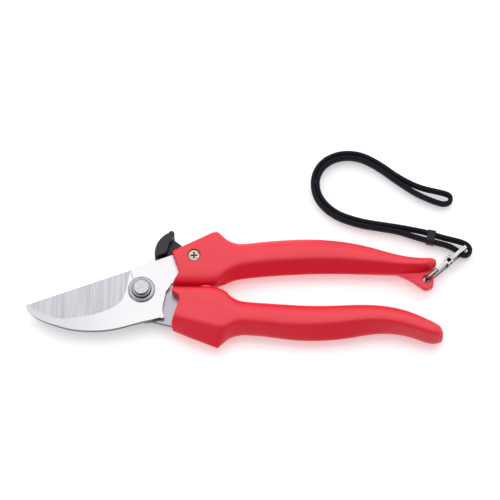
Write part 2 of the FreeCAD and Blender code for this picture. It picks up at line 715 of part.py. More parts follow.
def make_hook_body(doc, dims):
    """Flat die-cast eye plate with a round-wire hook: the front bar passes up through the lug's hole."""
    radius = dims.hook_wire / 2
    rise = dims.hook_rise
    bend = dims.hook_bend
    corner = bend * (1 - math.cos(math.radians(45)))
    loop = dims.hook_loop + 1.0
    edges = [
        Part.makeLine(vec(dims.hook_nose, 0, rise), vec(bend, 0, rise)),
        Part.Arc(vec(bend, 0, rise), vec(corner, 0, rise - corner), vec(0, 0, rise - bend)).toShape(),
        Part.makeLine(vec(0, 0, rise - bend), vec(0, 0, bend - rise)),
        Part.Arc(vec(0, 0, bend - rise), vec(corner, 0, corner - rise), vec(bend, 0, -rise)).toShape(),
        Part.makeLine(vec(bend, 0, -rise), vec(loop, 0, -rise)),
    ]
    section = Part.Wire(Part.makeCircle(radius, vec(dims.hook_nose, 0, rise), vec(1, 0, 0)))
    wire = Part.Wire(edges).makePipeShell([section], True, True)
    half = dims.strap_width / 2 + dims.eye_play + dims.eye_wall
    end = dims.eye_start + dims.eye_length + dims.eye_bar
    pivot = gate_pivot(dims)
    plate = slab(
        [
            (dims.hook_loop, -rise - radius),
            (dims.hook_loop + 3.6, -half),
            (end, -half),
            (end, half),
            (dims.hook_loop + 3.4, half),
            (dims.hook_loop + 1.2, pivot[1] + dims.gate_eye_radius),
            (dims.hook_loop, pivot[1] - 0.4),
        ],
        dims.hook_plate,
    )
    inner = half - dims.eye_wall
    window = slab(
        [
            (dims.eye_start, -inner),
            (dims.eye_start + dims.eye_length, -inner),
            (dims.eye_start + dims.eye_length, inner),
            (dims.eye_start, inner),
        ],
        dims.hook_plate * 2,
    )
    pin = Part.makeCylinder(dims.gate_pin_radius, 10, vec(pivot[0], -5, pivot[1]), vec(0, 1, 0))
    solid = plate.fuse(wire).cut(window).cut(pin)
    return add_feature(doc, "snap_hook_body", solid.removeSplitter(), hook_place(dims))


def add_feature(doc, name, shape, placement):
    feature = doc.addObject("Part::Feature", name)
    feature.Label = name
    feature.Shape = shape
    feature.Placement = placement
    return feature


def make_gate(doc, dims):
    """Gate: a bar from the nose to a fork whose cheeks straddle the eye plate on the rivet."""
    pivot = gate_pivot(dims)
    inside = dims.hook_plate / 2 + dims.gate_side_play
    outside = inside + dims.gate_cheek
    tip = dims.hook_nose + dims.gate_play
    bridge = pivot[0] - dims.gate_fork
    eye = dims.gate_eye_radius
    bar = slab(
        [
            (tip, dims.hook_rise - 0.6),
            (bridge + 0.8, pivot[1] - 0.7),
            (bridge + 0.8, pivot[1] + eye),
            (tip, dims.hook_rise + 0.7),
        ],
        2 * inside,
    )
    cheeks = []
    for side in (-1, 1):
        disc = Part.makeCylinder(eye, dims.gate_cheek, vec(pivot[0], 0, pivot[1]), vec(0, 1, 0))
        strap = upright_face(
            [
                (bridge, pivot[1] - 0.7),
                (pivot[0], pivot[1] - eye),
                (pivot[0], pivot[1] + eye),
                (bridge, pivot[1] + eye),
            ]
        ).extrude(vec(0, dims.gate_cheek, 0))
        cheek = disc.fuse(strap)
        cheek.translate(vec(0, inside if side > 0 else -outside, 0))
        cheeks.append(cheek)
    hole = dims.gate_pin_radius + dims.gate_side_play
    pin = Part.makeCylinder(hole, 10, vec(pivot[0], -5, pivot[1]), vec(0, 1, 0))
    solid = bar.fuse(cheeks).cut(pin)
    return add_feature(doc, "snap_hook_gate", solid.removeSplitter(), hook_place(dims))


def make_hook_rivet(doc, dims):
    """Rivet through the cheeks and the eye plate, with a low head on each side."""
    pivot = gate_pivot(dims)
    outside = dims.hook_plate / 2 + 2 * dims.gate_side_play + dims.gate_cheek
    radius = dims.rivet_head_radius
    head = dims.rivet_head_depth
    low = vec(pivot[0], -outside, pivot[1])
    shank = Part.makeCylinder(dims.gate_pin_radius, 2 * outside, low, vec(0, 1, 0))
    heads = [
        Part.makeCylinder(radius, head, vec(pivot[0], outside, pivot[1]), vec(0, 1, 0)),
        Part.makeCylinder(radius, head, low - vec(0, head, 0), vec(0, 1, 0)),
    ]
    return add_feature(doc, "snap_hook_rivet", shank.fuse(heads).removeSplitter(), hook_place(dims))


def rounded_route(points):
    """Straight runs joined by tangent arcs, each arc as large as 0.45 of its shorter run allows."""
    places = [vec(x, y) for x, y in points]
    edges = []
    radii = []
    start = places[0]
    for before, here, after in zip(places, places[1:], places[2:]):
        incoming = here - before
        outgoing = after - here
        reach = 0.45 * min(incoming.Length, outgoing.Length)
        turn = incoming.getAngle(outgoing)
        radii.append(reach / math.tan(turn / 2))
        first = here - incoming.normalize() * reach
        last = here + outgoing.normalize() * reach
        bisector = ((first - here) + (last - here)).normalize()
        depth = radii[-1] / math.cos(turn / 2) - radii[-1]
        edges.append(Part.makeLine(start, first))
        edges.append(Part.Arc(first, here + bisector * depth, last).toShape())
        start = last
    edges.append(Part.makeLine(start, places[-1]))
    return Part.Wire(edges), radii


def make_strap(doc, dims):
    """The braid as a plain band on edge: its section swept along the rounded route."""
    wire, radii = rounded_route(STRAP_ROUTE)
    print("strap radii", [round(radius, 1) for radius in radii])
    start = vec(*STRAP_ROUTE[0])
    heading = (vec(*STRAP_ROUTE[1]) - start).normalize()
    across = vec(-heading.y, heading.x) * (dims.strap_thickness / 2)
    up = vec(0, 0, dims.strap_width)
    corners = [start - across, start + across, start + across + up, start - across + up]
    section = Part.makePolygon(corners + corners[:1])
    band = wire.makePipeShell([section], True, False)
    expected = wire.Length * dims.strap_width * dims.strap_thickness
    sizes = [round(size, 1) for size in (wire.Length, band.Volume, expected)]
    print("strap length, volume and expected volume", sizes)
    place = FreeCAD.Placement(vec(0, 0, dims.strap_lift), FreeCAD.Rotation())
    return add_feature(doc, "lanyard_strap", band, place)


def make_keeper(doc, dims):
    """A small sleeve that holds the two strands together over the stitched ends."""
    first = vec(*STRAP_ROUTE[0])
    across = vec(*KEEPER_ACROSS) - first
    middle = first + across / 2
    heading = math.degrees(math.atan2(across.y, across.x)) - 90
    wide = across.Length + dims.strap_thickness + 2 * (dims.keeper_wall + dims.keeper_play)
    tall = dims.strap_width + 2 * dims.keeper_play + 2 * dims.keeper_wall
    block = Part.makeBox(dims.keeper_length, wide, tall, vec(-dims.keeper_length / 2, -wide / 2, 0))
    opening = Part.makeBox(
        dims.keeper_length * 2,
        wide - 2 * dims.keeper_wall,
        tall - 2 * dims.keeper_wall,
        vec(-dims.keeper_length, -wide / 2 + dims.keeper_wall, dims.keeper_wall),
    )
    place = FreeCAD.Placement(
        vec(middle.x, middle.y, dims.strap_lift - dims.keeper_play - dims.keeper_wall),
        FreeCAD.Rotation(vec(0, 0, 1), heading),
    )
    return add_feature(doc, "lanyard_keeper", block.cut(opening), place)


def check_document(doc):
    """Stop if any object of the document failed to recompute."""
    for item in doc.Objects:
        if "Invalid" in item.State or "Error" in item.State:
            raise RuntimeError(f"{item.Label} failed: {item.State}")


def export(solids):
    """Write each sub-part to parts/NODE.step, once all of them are sound."""
    for item in solids:
        if item.Shape.isNull() or not item.Shape.isValid():
            raise RuntimeError(item.Label + " is not a valid shape")
    os.makedirs("parts", exist_ok=True)
    for item in solids:
        item.Shape.exportStep(f"parts/{item.Label}.step")
        box = item.Shape.BoundBox
        print(f"{item.Label:18s} solids {len(item.Shape.Solids)} volume {item.Shape.Volume:9.1f}", box)


def main():
    doc = FreeCAD.newDocument("shears")
    dims = make_sheet(doc)
    cutting = make_cutting_blade(doc, dims)
    counter = make_counter_blade(doc, dims)
    solids = [cutting, counter]
    solids += make_pivot(doc)
    solids.append(make_upper_handle(doc, dims, cutting))
    solids.append(make_lower_handle(doc, dims, counter))
    solids.append(make_stop_collar(doc, dims))
    solids.append(make_opening_spring(doc, dims))
    solids += make_catch_fasteners(doc, dims)
    solids.append(make_catch_lever(doc, dims))
    solids.append(make_hook_body(doc, dims))
    solids.append(make_gate(doc, dims))
    solids.append(make_hook_rivet(doc, dims))
    solids.append(make_strap(doc, dims))
    solids.append(make_keeper(doc, dims))
    doc.recompute()
    check_document(doc)
    export(solids)


main()
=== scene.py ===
"""Bypass pruning shears with red moulded grips, a thumb catch and a wrist lanyard on a snap hook.

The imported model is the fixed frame. New pieces take their places from it, in metres.
"""

from __future__ import annotations

import logging
import math
from dataclasses import dataclass, replace
from enum import Enum
from typing import Any, Mapping, Sequence

import bmesh
import bpy
import numpy as np
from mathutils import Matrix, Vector

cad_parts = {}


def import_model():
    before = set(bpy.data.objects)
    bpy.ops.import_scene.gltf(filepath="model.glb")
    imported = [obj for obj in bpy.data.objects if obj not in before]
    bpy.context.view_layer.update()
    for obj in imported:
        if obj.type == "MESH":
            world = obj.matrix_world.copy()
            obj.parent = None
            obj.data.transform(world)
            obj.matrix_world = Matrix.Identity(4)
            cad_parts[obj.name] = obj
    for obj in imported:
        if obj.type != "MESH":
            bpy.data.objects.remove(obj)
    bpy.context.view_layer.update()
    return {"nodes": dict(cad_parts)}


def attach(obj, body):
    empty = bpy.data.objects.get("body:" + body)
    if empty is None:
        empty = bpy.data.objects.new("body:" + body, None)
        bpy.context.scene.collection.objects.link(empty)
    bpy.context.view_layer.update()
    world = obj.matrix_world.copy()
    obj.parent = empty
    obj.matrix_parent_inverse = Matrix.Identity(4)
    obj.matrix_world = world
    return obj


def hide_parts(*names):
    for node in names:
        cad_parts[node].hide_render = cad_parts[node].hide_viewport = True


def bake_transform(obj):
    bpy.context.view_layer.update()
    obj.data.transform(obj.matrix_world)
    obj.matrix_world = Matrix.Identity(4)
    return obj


MM = 0.001
WELD_GAP = 5e-6
MERGE_GAP = 1e-6
FLAT_ANGLE = math.radians(1.0)
EASED_ANGLE = math.radians(35.0)
LOG = logging.getLogger("pruning_shears")

Colour = tuple[float, float, float, float]
Corner = tuple[float, float, float]
Span = tuple[float, float]


# ---------------------------------------------------------------------------------- shader maths


@dataclass(frozen=True)
class Field:
    """A value that varies over a surface, held as a node socket; arithmetic adds Math nodes."""

    tree: bpy.types.NodeTree
    socket: bpy.types.NodeSocket

    def math(self, operation: str, *terms: "Field | float") -> "Field":
        """Adds one Math node over the terms given, in their order.

        Args:
            operation: The Math node's operation.
            terms: Fields or plain numbers for its sockets.

        Returns:
            The node's result.
        """
        node = self.tree.nodes.new("ShaderNodeMath")
        node.operation = operation
        for slot, term in zip(node.inputs, terms):
            if isinstance(term, Field):
                self.tree.links.new(term.socket, slot)
            else:
                slot.default_value = term
        return Field(self.tree, node.outputs[0])

    def output(self, name: str) -> "Field":
        """Another output of the node that this field comes from."""
        return Field(self.tree, self.socket.node.outputs[name])

    def __add__(self, other: "Field | float") -> "Field":
        """The sum of both."""
        return self.math("ADD", self, other)

    def __radd__(self, other: float) -> "Field":
        """The sum of both, with the number first."""
        return self.math("ADD", other, self)

    def __sub__(self, other: "Field | float") -> "Field":
        """This less the other."""
        return self.math("SUBTRACT", self, other)

    def __rsub__(self, other: float) -> "Field":
        """The number less this."""
        return self.math("SUBTRACT", other, self)

    def __mul__(self, other: "Field | float") -> "Field":
        """The product of both."""
        return self.math("MULTIPLY", self, other)

    def __rmul__(self, other: float) -> "Field":
        """The product of both, with the number first."""
        return self.math("MULTIPLY", other, self)

    def __truediv__(self, other: "Field | float") -> "Field":
        """This divided by the other."""
        return self.math("DIVIDE", self, other)

    def sine(self) -> "Field":
        """The sine of this, in radians."""
        return self.math("SINE", self)

    def root(self) -> "Field":
        """The square root of this."""
        return self.math("SQRT", self)


class Bench:
    """Where the nodes of one tree are put together."""

    def __init__(self, tree: bpy.types.NodeTree) -> None:
        """Takes the tree that is worked on."""
        self.tree = tree

    def node(
        self,
        kind: str,
        settings: Mapping[str, Any] | None = None,
        sockets: Mapping[str | int, Any] | None = None,
        output: str | int = 0,
    ) -> Field:
        """Adds one node: its settings first, then the values or links of its sockets.

        Args:
            kind: The node's type.
            settings: Its properties; "curve" is a float curve's points.
            sockets: Input name or number to a value or a Field.
            output: The output that is returned.

        Returns:
            The chosen output.
        """
        node = self.tree.nodes.new(kind)
        for key, value in (settings or {}).items():
            if key == "curve":
                self._set_curve(node.mapping, value)
            else:
                setattr(node, key, value)
        for key, value in (sockets or {}).items():
            if isinstance(value, Field):
                self.tree.links.new(value.socket, node.inputs[key])
            else:
                node.inputs[key].default_value = value
        return Field(self.tree, node.outputs[output])

    @staticmethod
    def _set_curve(mapping: bpy.types.CurveMapping, points: Sequence[Span]) -> None:
        """Places a float curve's points, with the curve smooth through them."""
        curve = mapping.curves[0]
        while len(curve.points) < len(points):
            curve.points.new(0.5, 0.5)
        for point, place in zip(curve.points, points):
            point.location = place
            point.handle_type = "AUTO"
        mapping.update()

    def place(self) -> tuple[Field, Field, Field, Field]:
        """The surface point in the frame of the object: the vector, then x, y and z in metres."""
        vector = self.node("ShaderNodeTexCoord", output="Object")
        parts = self.node("ShaderNodeSeparateXYZ", sockets={0: vector})
        return vector, parts, parts.output("Y"), parts.output("Z")

    def noise(
        self,
        vector: Field,
        size: float,
        detail: float = 3.0,
        roughness: float = 0.55,
        stretch: tuple[float, float, float] = (1.0, 1.0, 1.0),
    ) -> Field:
        """Smooth noise from 0 to 1.

        Args:
            vector: Where it is read.
            size: About the length of one blotch, in the vector's units.
            detail: Octaves.
            roughness: Weight of the finer octaves.
            stretch: How many times longer a blotch is along each axis.

        Returns:
            The noise value.
        """
        scale = tuple(1.0 / (size * part) for part in stretch)
        placed = self.node("ShaderNodeMapping", {"vector_type": "POINT"}, {0: vector, 3: scale})
        return self.node(
            "ShaderNodeTexNoise",
            sockets={0: placed, "Scale": 1.0, "Detail": detail, "Roughness": roughness},
        )

    def step(
        self, value: Field, low: float, high: float, least: float = 0.0, most: float = 1.0
    ) -> Field:
        """Rises smoothly from least, where value is low, to most, where it is high."""
        return self.node(
            "ShaderNodeMapRange",
            {"interpolation_type": "SMOOTHSTEP"},
            {0: value, 1: low, 2: high, 3: least, 4: most},
        )

    def mix(self, share: Field | float, first: Any, second: Any) -> Field:
        """Mixes two colours, by share of the second."""
        return self.node(
            "ShaderNodeMix", {"data_type": "RGBA"}, {0: share, 6: first, 7: second}, 2
        )

    def bump(self, height: Field, depth: float) -> Field:
        """Turns a height from 0 to 1 into a normal, depth metres deep."""
        return self.node(
            "ShaderNodeBump", sockets={"Strength": 1.0, "Distance": depth, "Height": height}
        )

    def level(self, sideways: float = 0.3, flat: float = 0.7) -> Field:
        """Reads 1 where the surface faces straight up or down and 0 where it faces sideways; the
        finishes use it to paint shade on the sideways faces.

        Args:
            sideways: Below this, the square of the normal's z counts as sideways.
            flat: Above this, it counts as level.

        Returns:
            The share.
        """
        facing = self.node("ShaderNodeNewGeometry", output="Normal")
        upright = self.node("ShaderNodeSeparateXYZ", sockets={0: facing}, output="Z")
        return self.step(upright * upright, sideways, flat)


class Dresser(Bench):
    """Builds the node tree of one finish on a Principled surface."""

    def __init__(self, name: str) -> None:
        """Starts an empty material.

        Args:
            name: The material's name.
        """
        self.material = bpy.data.materials.new(name)
        self.material.use_nodes = True
        super().__init__(self.material.node_tree)
        self.tree.nodes.clear()

    def surface(self, **sockets: Any) -> bpy.types.Material:
        """Ends the tree in a Principled surface.

        Args:
            sockets: Values or links, by the socket's name with _ for a space.

        Returns:
            The finished material.
        """
        named = {key.replace("_", " "): value for key, value in sockets.items()}
        shader = self.node("ShaderNodeBsdfPrincipled", sockets=named)
        end = self.tree.nodes.new("ShaderNodeOutputMaterial")
        self.tree.links.new(shader.socket, end.inputs["Surface"])
        return self.material


# ---------------------------------------------------------------------------------- finishes


@dataclass(frozen=True)
class SatinNylon:
    """Glass-filled nylon off a satin mould: even colour, a fine skin and faint flow clouds.

    Sizes and depths are in metres. A play is how much roughness a pattern adds and takes away.
    """

    name: str
    colour: Colour
    cloud_colour: Colour
    roughness: float = 0.44
    shine: float = 0.45
    cloud_size: float = 0.016
    cloud_edge: Span = (0.35, 0.7)
    cloud_share: float = 0.6
    grain_size: float = 0.00045
    grain_depth: float = 0.00001
    grain_play: float = 0.06
    scuff_size: float = 0.003
    scuff_play: float = 0.14

    def make(self) -> bpy.types.Material:
        """Builds the material.

        Returns:
            The finished material.
        """
        dresser = Dresser(self.name)
        vector, _, _, _ = dresser.place()
        clouds = dresser.noise(vector, self.cloud_size, 2.0)
        grain = dresser.noise(vector, self.grain_size, 2.0, 0.6)
        scuffs = dresser.noise(vector, self.scuff_size, 4.0, 0.7, (4.0, 1.0, 1.0))
        share = dresser.step(clouds, *self.cloud_edge) * self.cloud_share
        worn = self.roughness + (scuffs - 0.5) * self.scuff_play
        return dresser.surface(
            Base_Color=dresser.mix(share, self.colour, self.cloud_colour),
            Roughness=worn + (grain - 0.5) * self.grain_play,
            Normal=dresser.bump(grain, self.grain_depth),
            Specular_IOR_Level=self.shine,
        )


@dataclass(frozen=True)
class GroundBladeSteel:
    """Polished stainless plate with a hollow-ground zone along its straight edge.

    The zone lies between the straight edge and the grind line, which is a curve of y over x,
    on the upper face alone. The grinder's strokes run across the blade. Faces that turn
    sideways, the plate's edges, are painted dark as painted shade. Places and sizes are in metres.
    """

    name: str
    polished: Colour = (0.54, 0.52, 0.53, 1.0)
    polished_tip: Colour = (0.41, 0.395, 0.41, 1.0)
    ground: Colour = (0.345, 0.338, 0.36, 1.0)
    stroke: Colour = (0.51, 0.50, 0.525, 1.0)
    # painted shade: the colour of the plate's sideways faces
    painted_edge_shade: Colour = (0.12, 0.12, 0.125, 1.0)
    grind_from: float = -0.054
    grind_to: float = -0.004
    y_low: float = -0.020
    y_high: float = 0.015
    upper_face: Span = (0.00675, 0.00705)
    zone_edge: Span = (-0.004, 0.010)
    zone_fade: float = 0.0002
    stroke_width: float = 0.0006
    pass_width: float = 0.0045
    pass_share: float = 0.25
    stroke_edge: Span = (0.32, 0.68)
    polish_width: float = 0.0005
    polish_height: float = 0.25
    cloud_size: float = 0.009
    cloud_reach: float = 0.012
    tip_fade: Span = (-0.042, 0.004)
    roughness: float = 0.30
    ground_roughness: float = 0.12
    stroke_play: float = 0.10
    polish_play: float = 0.05
    relief: float = 0.000012
    grind_line: tuple[tuple[float, float], ...] = (
        (-0.0540, -0.0062),
        (-0.0506, -0.0083),
        (-0.0467, -0.0103),
        (-0.0372, -0.0139),
        (-0.0259, -0.0128),
        (-0.0181, -0.0109),
        (-0.0120, -0.0080),
        (-0.0096, -0.0060),
        (-0.0077, -0.0021),
        (-0.0054, 0.0094),
        (-0.0040, 0.0150),
    )

    def make(self) -> bpy.types.Material:
        """Builds the material.

        Returns:
            The finished material.
        """
        dresser = Dresser(self.name)
        vector, x, y, z = dresser.place()
        length, span = self.grind_to - self.grind_from, self.y_high - self.y_low
        points = [
            ((px - self.grind_from) / length, (py - self.y_low) / span)
            for px, py in self.grind_line
        ]
        along = (x - self.grind_from) / length
        line = dresser.node("ShaderNodeFloatCurve", {"curve": points}, {"Value": along})
        above = (y - self.y_low) / span - line
        reach = dresser.step(x, self.grind_to + self.zone_fade, self.grind_to - self.zone_fade)
        upper_face = dresser.step(z, *self.upper_face)
        zone = dresser.step(above, *self.zone_edge) * reach * upper_face
        strokes = dresser.noise(vector, self.stroke_width, 4.0, 0.7, (1.0, 60.0, 60.0))
        passes = dresser.noise(vector, self.pass_width, 2.0, 0.5, (1.0, 12.0, 12.0))
        polish = dresser.noise(vector, self.polish_width, 3.0, 0.6, (30.0, 1.0, 1.0))
        worked = strokes * (1 - self.pass_share) + passes * self.pass_share
        depth = dresser.step(worked, *self.stroke_edge)
        ground = dresser.mix(depth, self.ground, self.stroke)
        relief = strokes * zone + polish * (1 - zone) * self.polish_height
        clouds = dresser.noise(vector, self.cloud_size, 2.0, 0.5, (1.0, 2.0, 2.0))
        to_pivot = dresser.step(x + clouds * self.cloud_reach, *self.tip_fade)
        polished = dresser.mix(to_pivot, self.polished_tip, self.polished)
        face = dresser.mix(zone, polished, ground)
        stroked = self.ground_roughness + strokes * self.stroke_play
        return dresser.surface(
            # painted shade: faces that turn sideways take the dark edge colour
            Base_Color=dresser.mix(dresser.level(), self.painted_edge_shade, face),
            Metallic=1.0,
            Roughness=self.roughness + zone * stroked + (polish - 0.5) * self.polish_play,
            Normal=dresser.bump(relief, self.relief),
        )


@dataclass(frozen=True)
class TurnedSteel:
    """Steel with the fine rings that a lathe leaves round the pivot's axis.

    Faces that turn sideways are painted dark, as painted shade.
    """

    name: str
    colour: Colour = (0.43, 0.42, 0.435, 1.0)
    dull: Colour = (0.22, 0.21, 0.215, 1.0)
    # painted shade: the colour of faces that turn sideways
    side: Colour = (0.07, 0.065, 0.065, 1.0)
    roughness: float = 0.22
    pitch: float = 0.00035
    ring_share: float = 0.12
    ring_play: float = 0.08
    ring_depth: float = 0.000006
    smudge_size: float = 0.0016
    smudge_edge: Span = (0.42, 0.72)
    smudge_share: float = 0.5
    smudge_play: float = 0.12

    def make(self) -> bpy.types.Material:
        """Builds the material.

        Returns:
            The finished material.
        """
        dresser = Dresser(self.name)
        vector, x, y, _ = dresser.place()
        radius = (x * x + y * y).root()
        rings = (radius * (math.tau / self.pitch)).sine() * 0.5 + 0.5
        smudges = dresser.noise(vector, self.smudge_size, 4.0, 0.6)
        stained = dresser.step(smudges, *self.smudge_edge) * self.smudge_share
        face = dresser.mix(stained + rings * self.ring_share, self.colour, self.dull)
        return dresser.surface(
            # painted shade: sideways faces take the side colour
            Base_Color=dresser.mix(dresser.level(), self.side, face),
            Metallic=1.0,
            Roughness=self.roughness + rings * self.ring_play + smudges * self.smudge_play,
            Normal=dresser.bump(rings, self.ring_depth),
        )


@dataclass(frozen=True)
class PlatedMetal:
    """Bright plating with faint haze and small handling marks.

    Below the recess's top, down to its floor, it is painted dark: grime and painted shade. A
    piece without a recess keeps both far below it. Faces that turn sideways are painted dark
    as painted shade.
    """

    name: str
    colour: Colour = (0.47, 0.445, 0.43, 1.0)
    haze: Colour = (0.25, 0.225, 0.22, 1.0)
    # painted shade: the colour of faces that turn sideways
    side: Colour = (0.09, 0.078, 0.078, 1.0)
    # grime and painted shade: the colour inside the recess
    grime_and_painted_shade: Colour = (0.035, 0.032, 0.022, 1.0)
    recess_floor: float = -1.0
    recess_top: float = -0.999
    roughness: float = 0.16
    haze_size: float = 0.0011
    haze_edge: Span = (0.4, 0.75)
    haze_play: float = 0.14
    mark_size: float = 0.0003
    mark_play: float = 0.06
    mark_depth: float = 0.000004

    def make(self) -> bpy.types.Material:
        """Builds the material.

        Returns:
            The finished material.
        """
        dresser = Dresser(self.name)
        vector, _, _, height = dresser.place()
        haze = dresser.noise(vector, self.haze_size, 4.0, 0.6)
        marks = dresser.noise(vector, self.mark_size, 3.0, 0.7, (6.0, 1.0, 1.0))
        face = dresser.mix(dresser.step(haze, *self.haze_edge), self.colour, self.haze)
        # painted shade: sideways faces take the side colour
        metal = dresser.mix(dresser.level(), self.side, face)
        # grime and painted shade darken it below the recess's top
        above_recess = dresser.step(height, self.recess_floor, self.recess_top)
        handled = self.roughness + haze * self.haze_play
        return dresser.surface(
            Base_Color=dresser.mix(above_recess, self.grime_and_painted_shade, metal),
            Metallic=1.0,
            Roughness=handled + (marks - 0.5) * self.mark_play,
            Normal=dresser.bump(marks, self.mark_depth),
        )


@dataclass(frozen=True)
class BraidedCord:
    """Flat black braid: two crossing sets of plaits, read from the piece's own map.

    The map's first number counts plaits round the cord and its second counts them along it.
    """

    name: str
    yarn: Colour = (0.003, 0.003, 0.005, 1.0)
    sheen: Colour = (0.020, 0.020, 0.030, 1.0)
    fibre_size: float = 0.12
    fibre_share: float = 0.2
    crown: Span = (0.45, 1.0)
    depth: float = 0.00016
    roughness: float = 0.78
    crown_gloss: float = 0.16
    shine: float = 0.12

    def make(self) -> bpy.types.Material:
        """Builds the material.

        Returns:
            The finished material.
        """
        dresser = Dresser(self.name)
        vector = dresser.node("ShaderNodeTexCoord", output="UV")
        across = dresser.node("ShaderNodeSeparateXYZ", sockets={0: vector})
        along = across.output("Y")
        right = ((across + along) * math.tau).sine() * 0.5 + 0.5
        left = ((across - along) * math.tau).sine() * 0.5 + 0.5
        fibres = dresser.noise(vector, self.fibre_size, 3.0, 0.7, (1.0, 3.0, 1.0))
        plait = right.math("MAXIMUM", right, left)
        height = plait * (1 - self.fibre_share) + fibres * self.fibre_share
        share = dresser.step(height, *self.crown)
        return dresser.surface(
            Base_Color=dresser.mix(share, self.yarn, self.sheen),
            Roughness=self.roughness - share * self.crown_gloss,
            Normal=dresser.bump(height, self.depth),
            Specular_IOR_Level=self.shine,
        )


@dataclass(frozen=True)
class SpringWire:
    """Drawn spring wire, grey under a patchy film of oil, with fine marks."""

    name: str
    colour: Colour = (0.46, 0.46, 0.47, 1.0)
    oiled: Colour = (0.20, 0.19, 0.18, 1.0)
    oil_size: float = 0.0012
    oil_edge: Span = (0.4, 0.7)
    oil_play: float = 0.15
    mark_size: float = 0.00015
    mark_depth: float = 0.000004
    roughness: float = 0.28

    def make(self) -> bpy.types.Material:
        """Builds the material.

        Returns:
            The finished material.
        """
        dresser = Dresser(self.name)
        vector, _, _, _ = dresser.place()
        oil = dresser.noise(vector, self.oil_size, 3.0)
        marks = dresser.noise(vector, self.mark_size, 2.0, 0.5)
        film = dresser.step(oil, *self.oil_edge)
        return dresser.surface(
            Base_Color=dresser.mix(film, self.colour, self.oiled),
            Metallic=1.0,
            Roughness=self.roughness + oil * self.oil_play,
            Normal=dresser.bump(marks, self.mark_depth),
        )


@dataclass(frozen=True)
class StudioPaper:
    """Seamless white paper that glows a little, as paper lit from below does."""

    name: str
    colour: Colour = (0.93, 0.93, 0.93, 1.0)
    fibre_colour: Colour = (0.90, 0.90, 0.90, 1.0)
    fibre_size: float = 0.002
    fibre_share: float = 0.1
    roughness: float = 0.9
    shine: float = 0.1
    glow: float = 0.3

    def make(self) -> bpy.types.Material:
        """Builds the material.

        Returns:
            The finished material.
        """
        dresser = Dresser(self.name)
        vector, _, _, _ = dresser.place()
        fibre = dresser.noise(vector, self.fibre_size, 2.0) * self.fibre_share
        return dresser.surface(
            Base_Color=dresser.mix(fibre, self.colour, self.fibre_colour),
            Roughness=self.roughness,
            Specular_IOR_Level=self.shine,
            Emission_Color=(1.0, 1.0, 1.0, 1.0),
            Emission_Strength=self.glow,
        )


# ---------------------------------------------------------------------------------- surfaces


def smoothstep(share: np.ndarray) -> np.ndarray:
    """Three t squared less two t cubed, of t held between 0 and 1."""
    held = np.clip(share, 0.0, 1.0)
    return held * held * (3.0 - 2.0 * held)


def eased_corners(corners: Sequence[Corner], steps: int = 14) -> np.ndarray:
    """A smooth line through a row of corners.

    Each corner (x, y, share) is a parabola that leaves the run before it, and joins the run
    after it, that share of the run away from the corner; a share of 0 keeps it sharp.

    Args:
        corners: The corners, in order.
        steps: Points on each parabola.

    Returns:
        The points, (n, 2).
    """
    table = np.array(corners, float)
    points, share = table[:, :2], table[:, 2:3]
    before = np.vstack((points[:1], points[:-1]))
    after = np.vstack((points[1:], points[-1:]))
    start = points + (before - points) * share
    end = points + (after - points) * share
    t = np.linspace(0.0, 1.0, steps)[None, :, None]
    leaving, turning, joining = (1 - t) ** 2, 2 * t * (1 - t), t**2
    curve = leaving * start[:, None] + turning * points[:, None] + joining * end[:, None]
    return curve.reshape(-1, 2)


@dataclass
class Sheet:
    """A grid of points, (rows, columns, 3), that becomes a closed skin.

    Columns always join round. Rows join too on a ring; they end in a fan; or, where the skin is
    pinched, its first and last rows are lines whose points meet in pairs and are welded.
    """

    points: np.ndarray
    ring: bool = False
    pinched: bool = False
    plaits: tuple[float, float] = (1.0, 1.0)

    def faces(self, first: int) -> tuple[np.ndarray, np.ndarray, np.ndarray]:
        """The vertices, quads and triangles of the skin.

        Args:
            first: The number of this sheet's first vertex in the mesh.

        Returns:
            Vertices (n, 3), quads (q, 4) and triangles (t, 3).
        """
        rows, columns = self.points.shape[:2]
        numbers = np.arange(rows * columns).reshape(rows, columns)
        after = np.roll(numbers, -1, axis=1)
        low, low_next = numbers, after
        high, high_next = np.roll(numbers, -1, axis=0), np.roll(after, -1, axis=0)
        keep = slice(None) if self.ring else slice(0, rows - 1)
        quads = np.stack((low, low_next, high_next, high), axis=-1)[keep].reshape(-1, 4)
        vertices = self.points.reshape(-1, 3)
        triangles = np.zeros((0, 3), int)
        if not self.ring and not self.pinched:
            poles = self.points[[0, -1]].mean(axis=1)
            vertices = np.vstack((vertices, poles))
            base = np.full(columns, rows * columns)
            triangles = np.vstack(
                (
                    np.stack((after[0], numbers[0], base), axis=-1),
                    np.stack((numbers[-1], after[-1], base + 1), axis=-1),
                )
            )
        return vertices, quads + first, triangles + first

    def map_of(self, count: int) -> np.ndarray:
        """The map: its numbers run evenly from 0 to the plaits, round the columns and up the rows.

        Args:
            count: How many vertices the skin has; those past the grid, the fans' poles, are at 0.

        Returns:
            The vertices' places on the map, (count, 2).
        """
        rows, columns = self.points.shape[:2]
        across, along = np.meshgrid(
            np.linspace(0, self.plaits[0], columns, endpoint=False),
            np.linspace(0, self.plaits[1], rows),
        )
        places = np.zeros((count, 2))
        places[: rows * columns] = np.stack((across, along), axis=-1).reshape(-1, 2)
        return places

    def volume(self) -> float:
        """Six times the signed volume inside the skin."""
        vertices, quads, triangles = self.faces(0)
        halves = np.vstack((quads[:, [0, 1, 2]], quads[:, [0, 2, 3]], triangles))
        a, b, c = (vertices[halves[:, i]] for i in range(3))
        return float(np.einsum("ij,ij->i", a, np.cross(b, c)).sum())


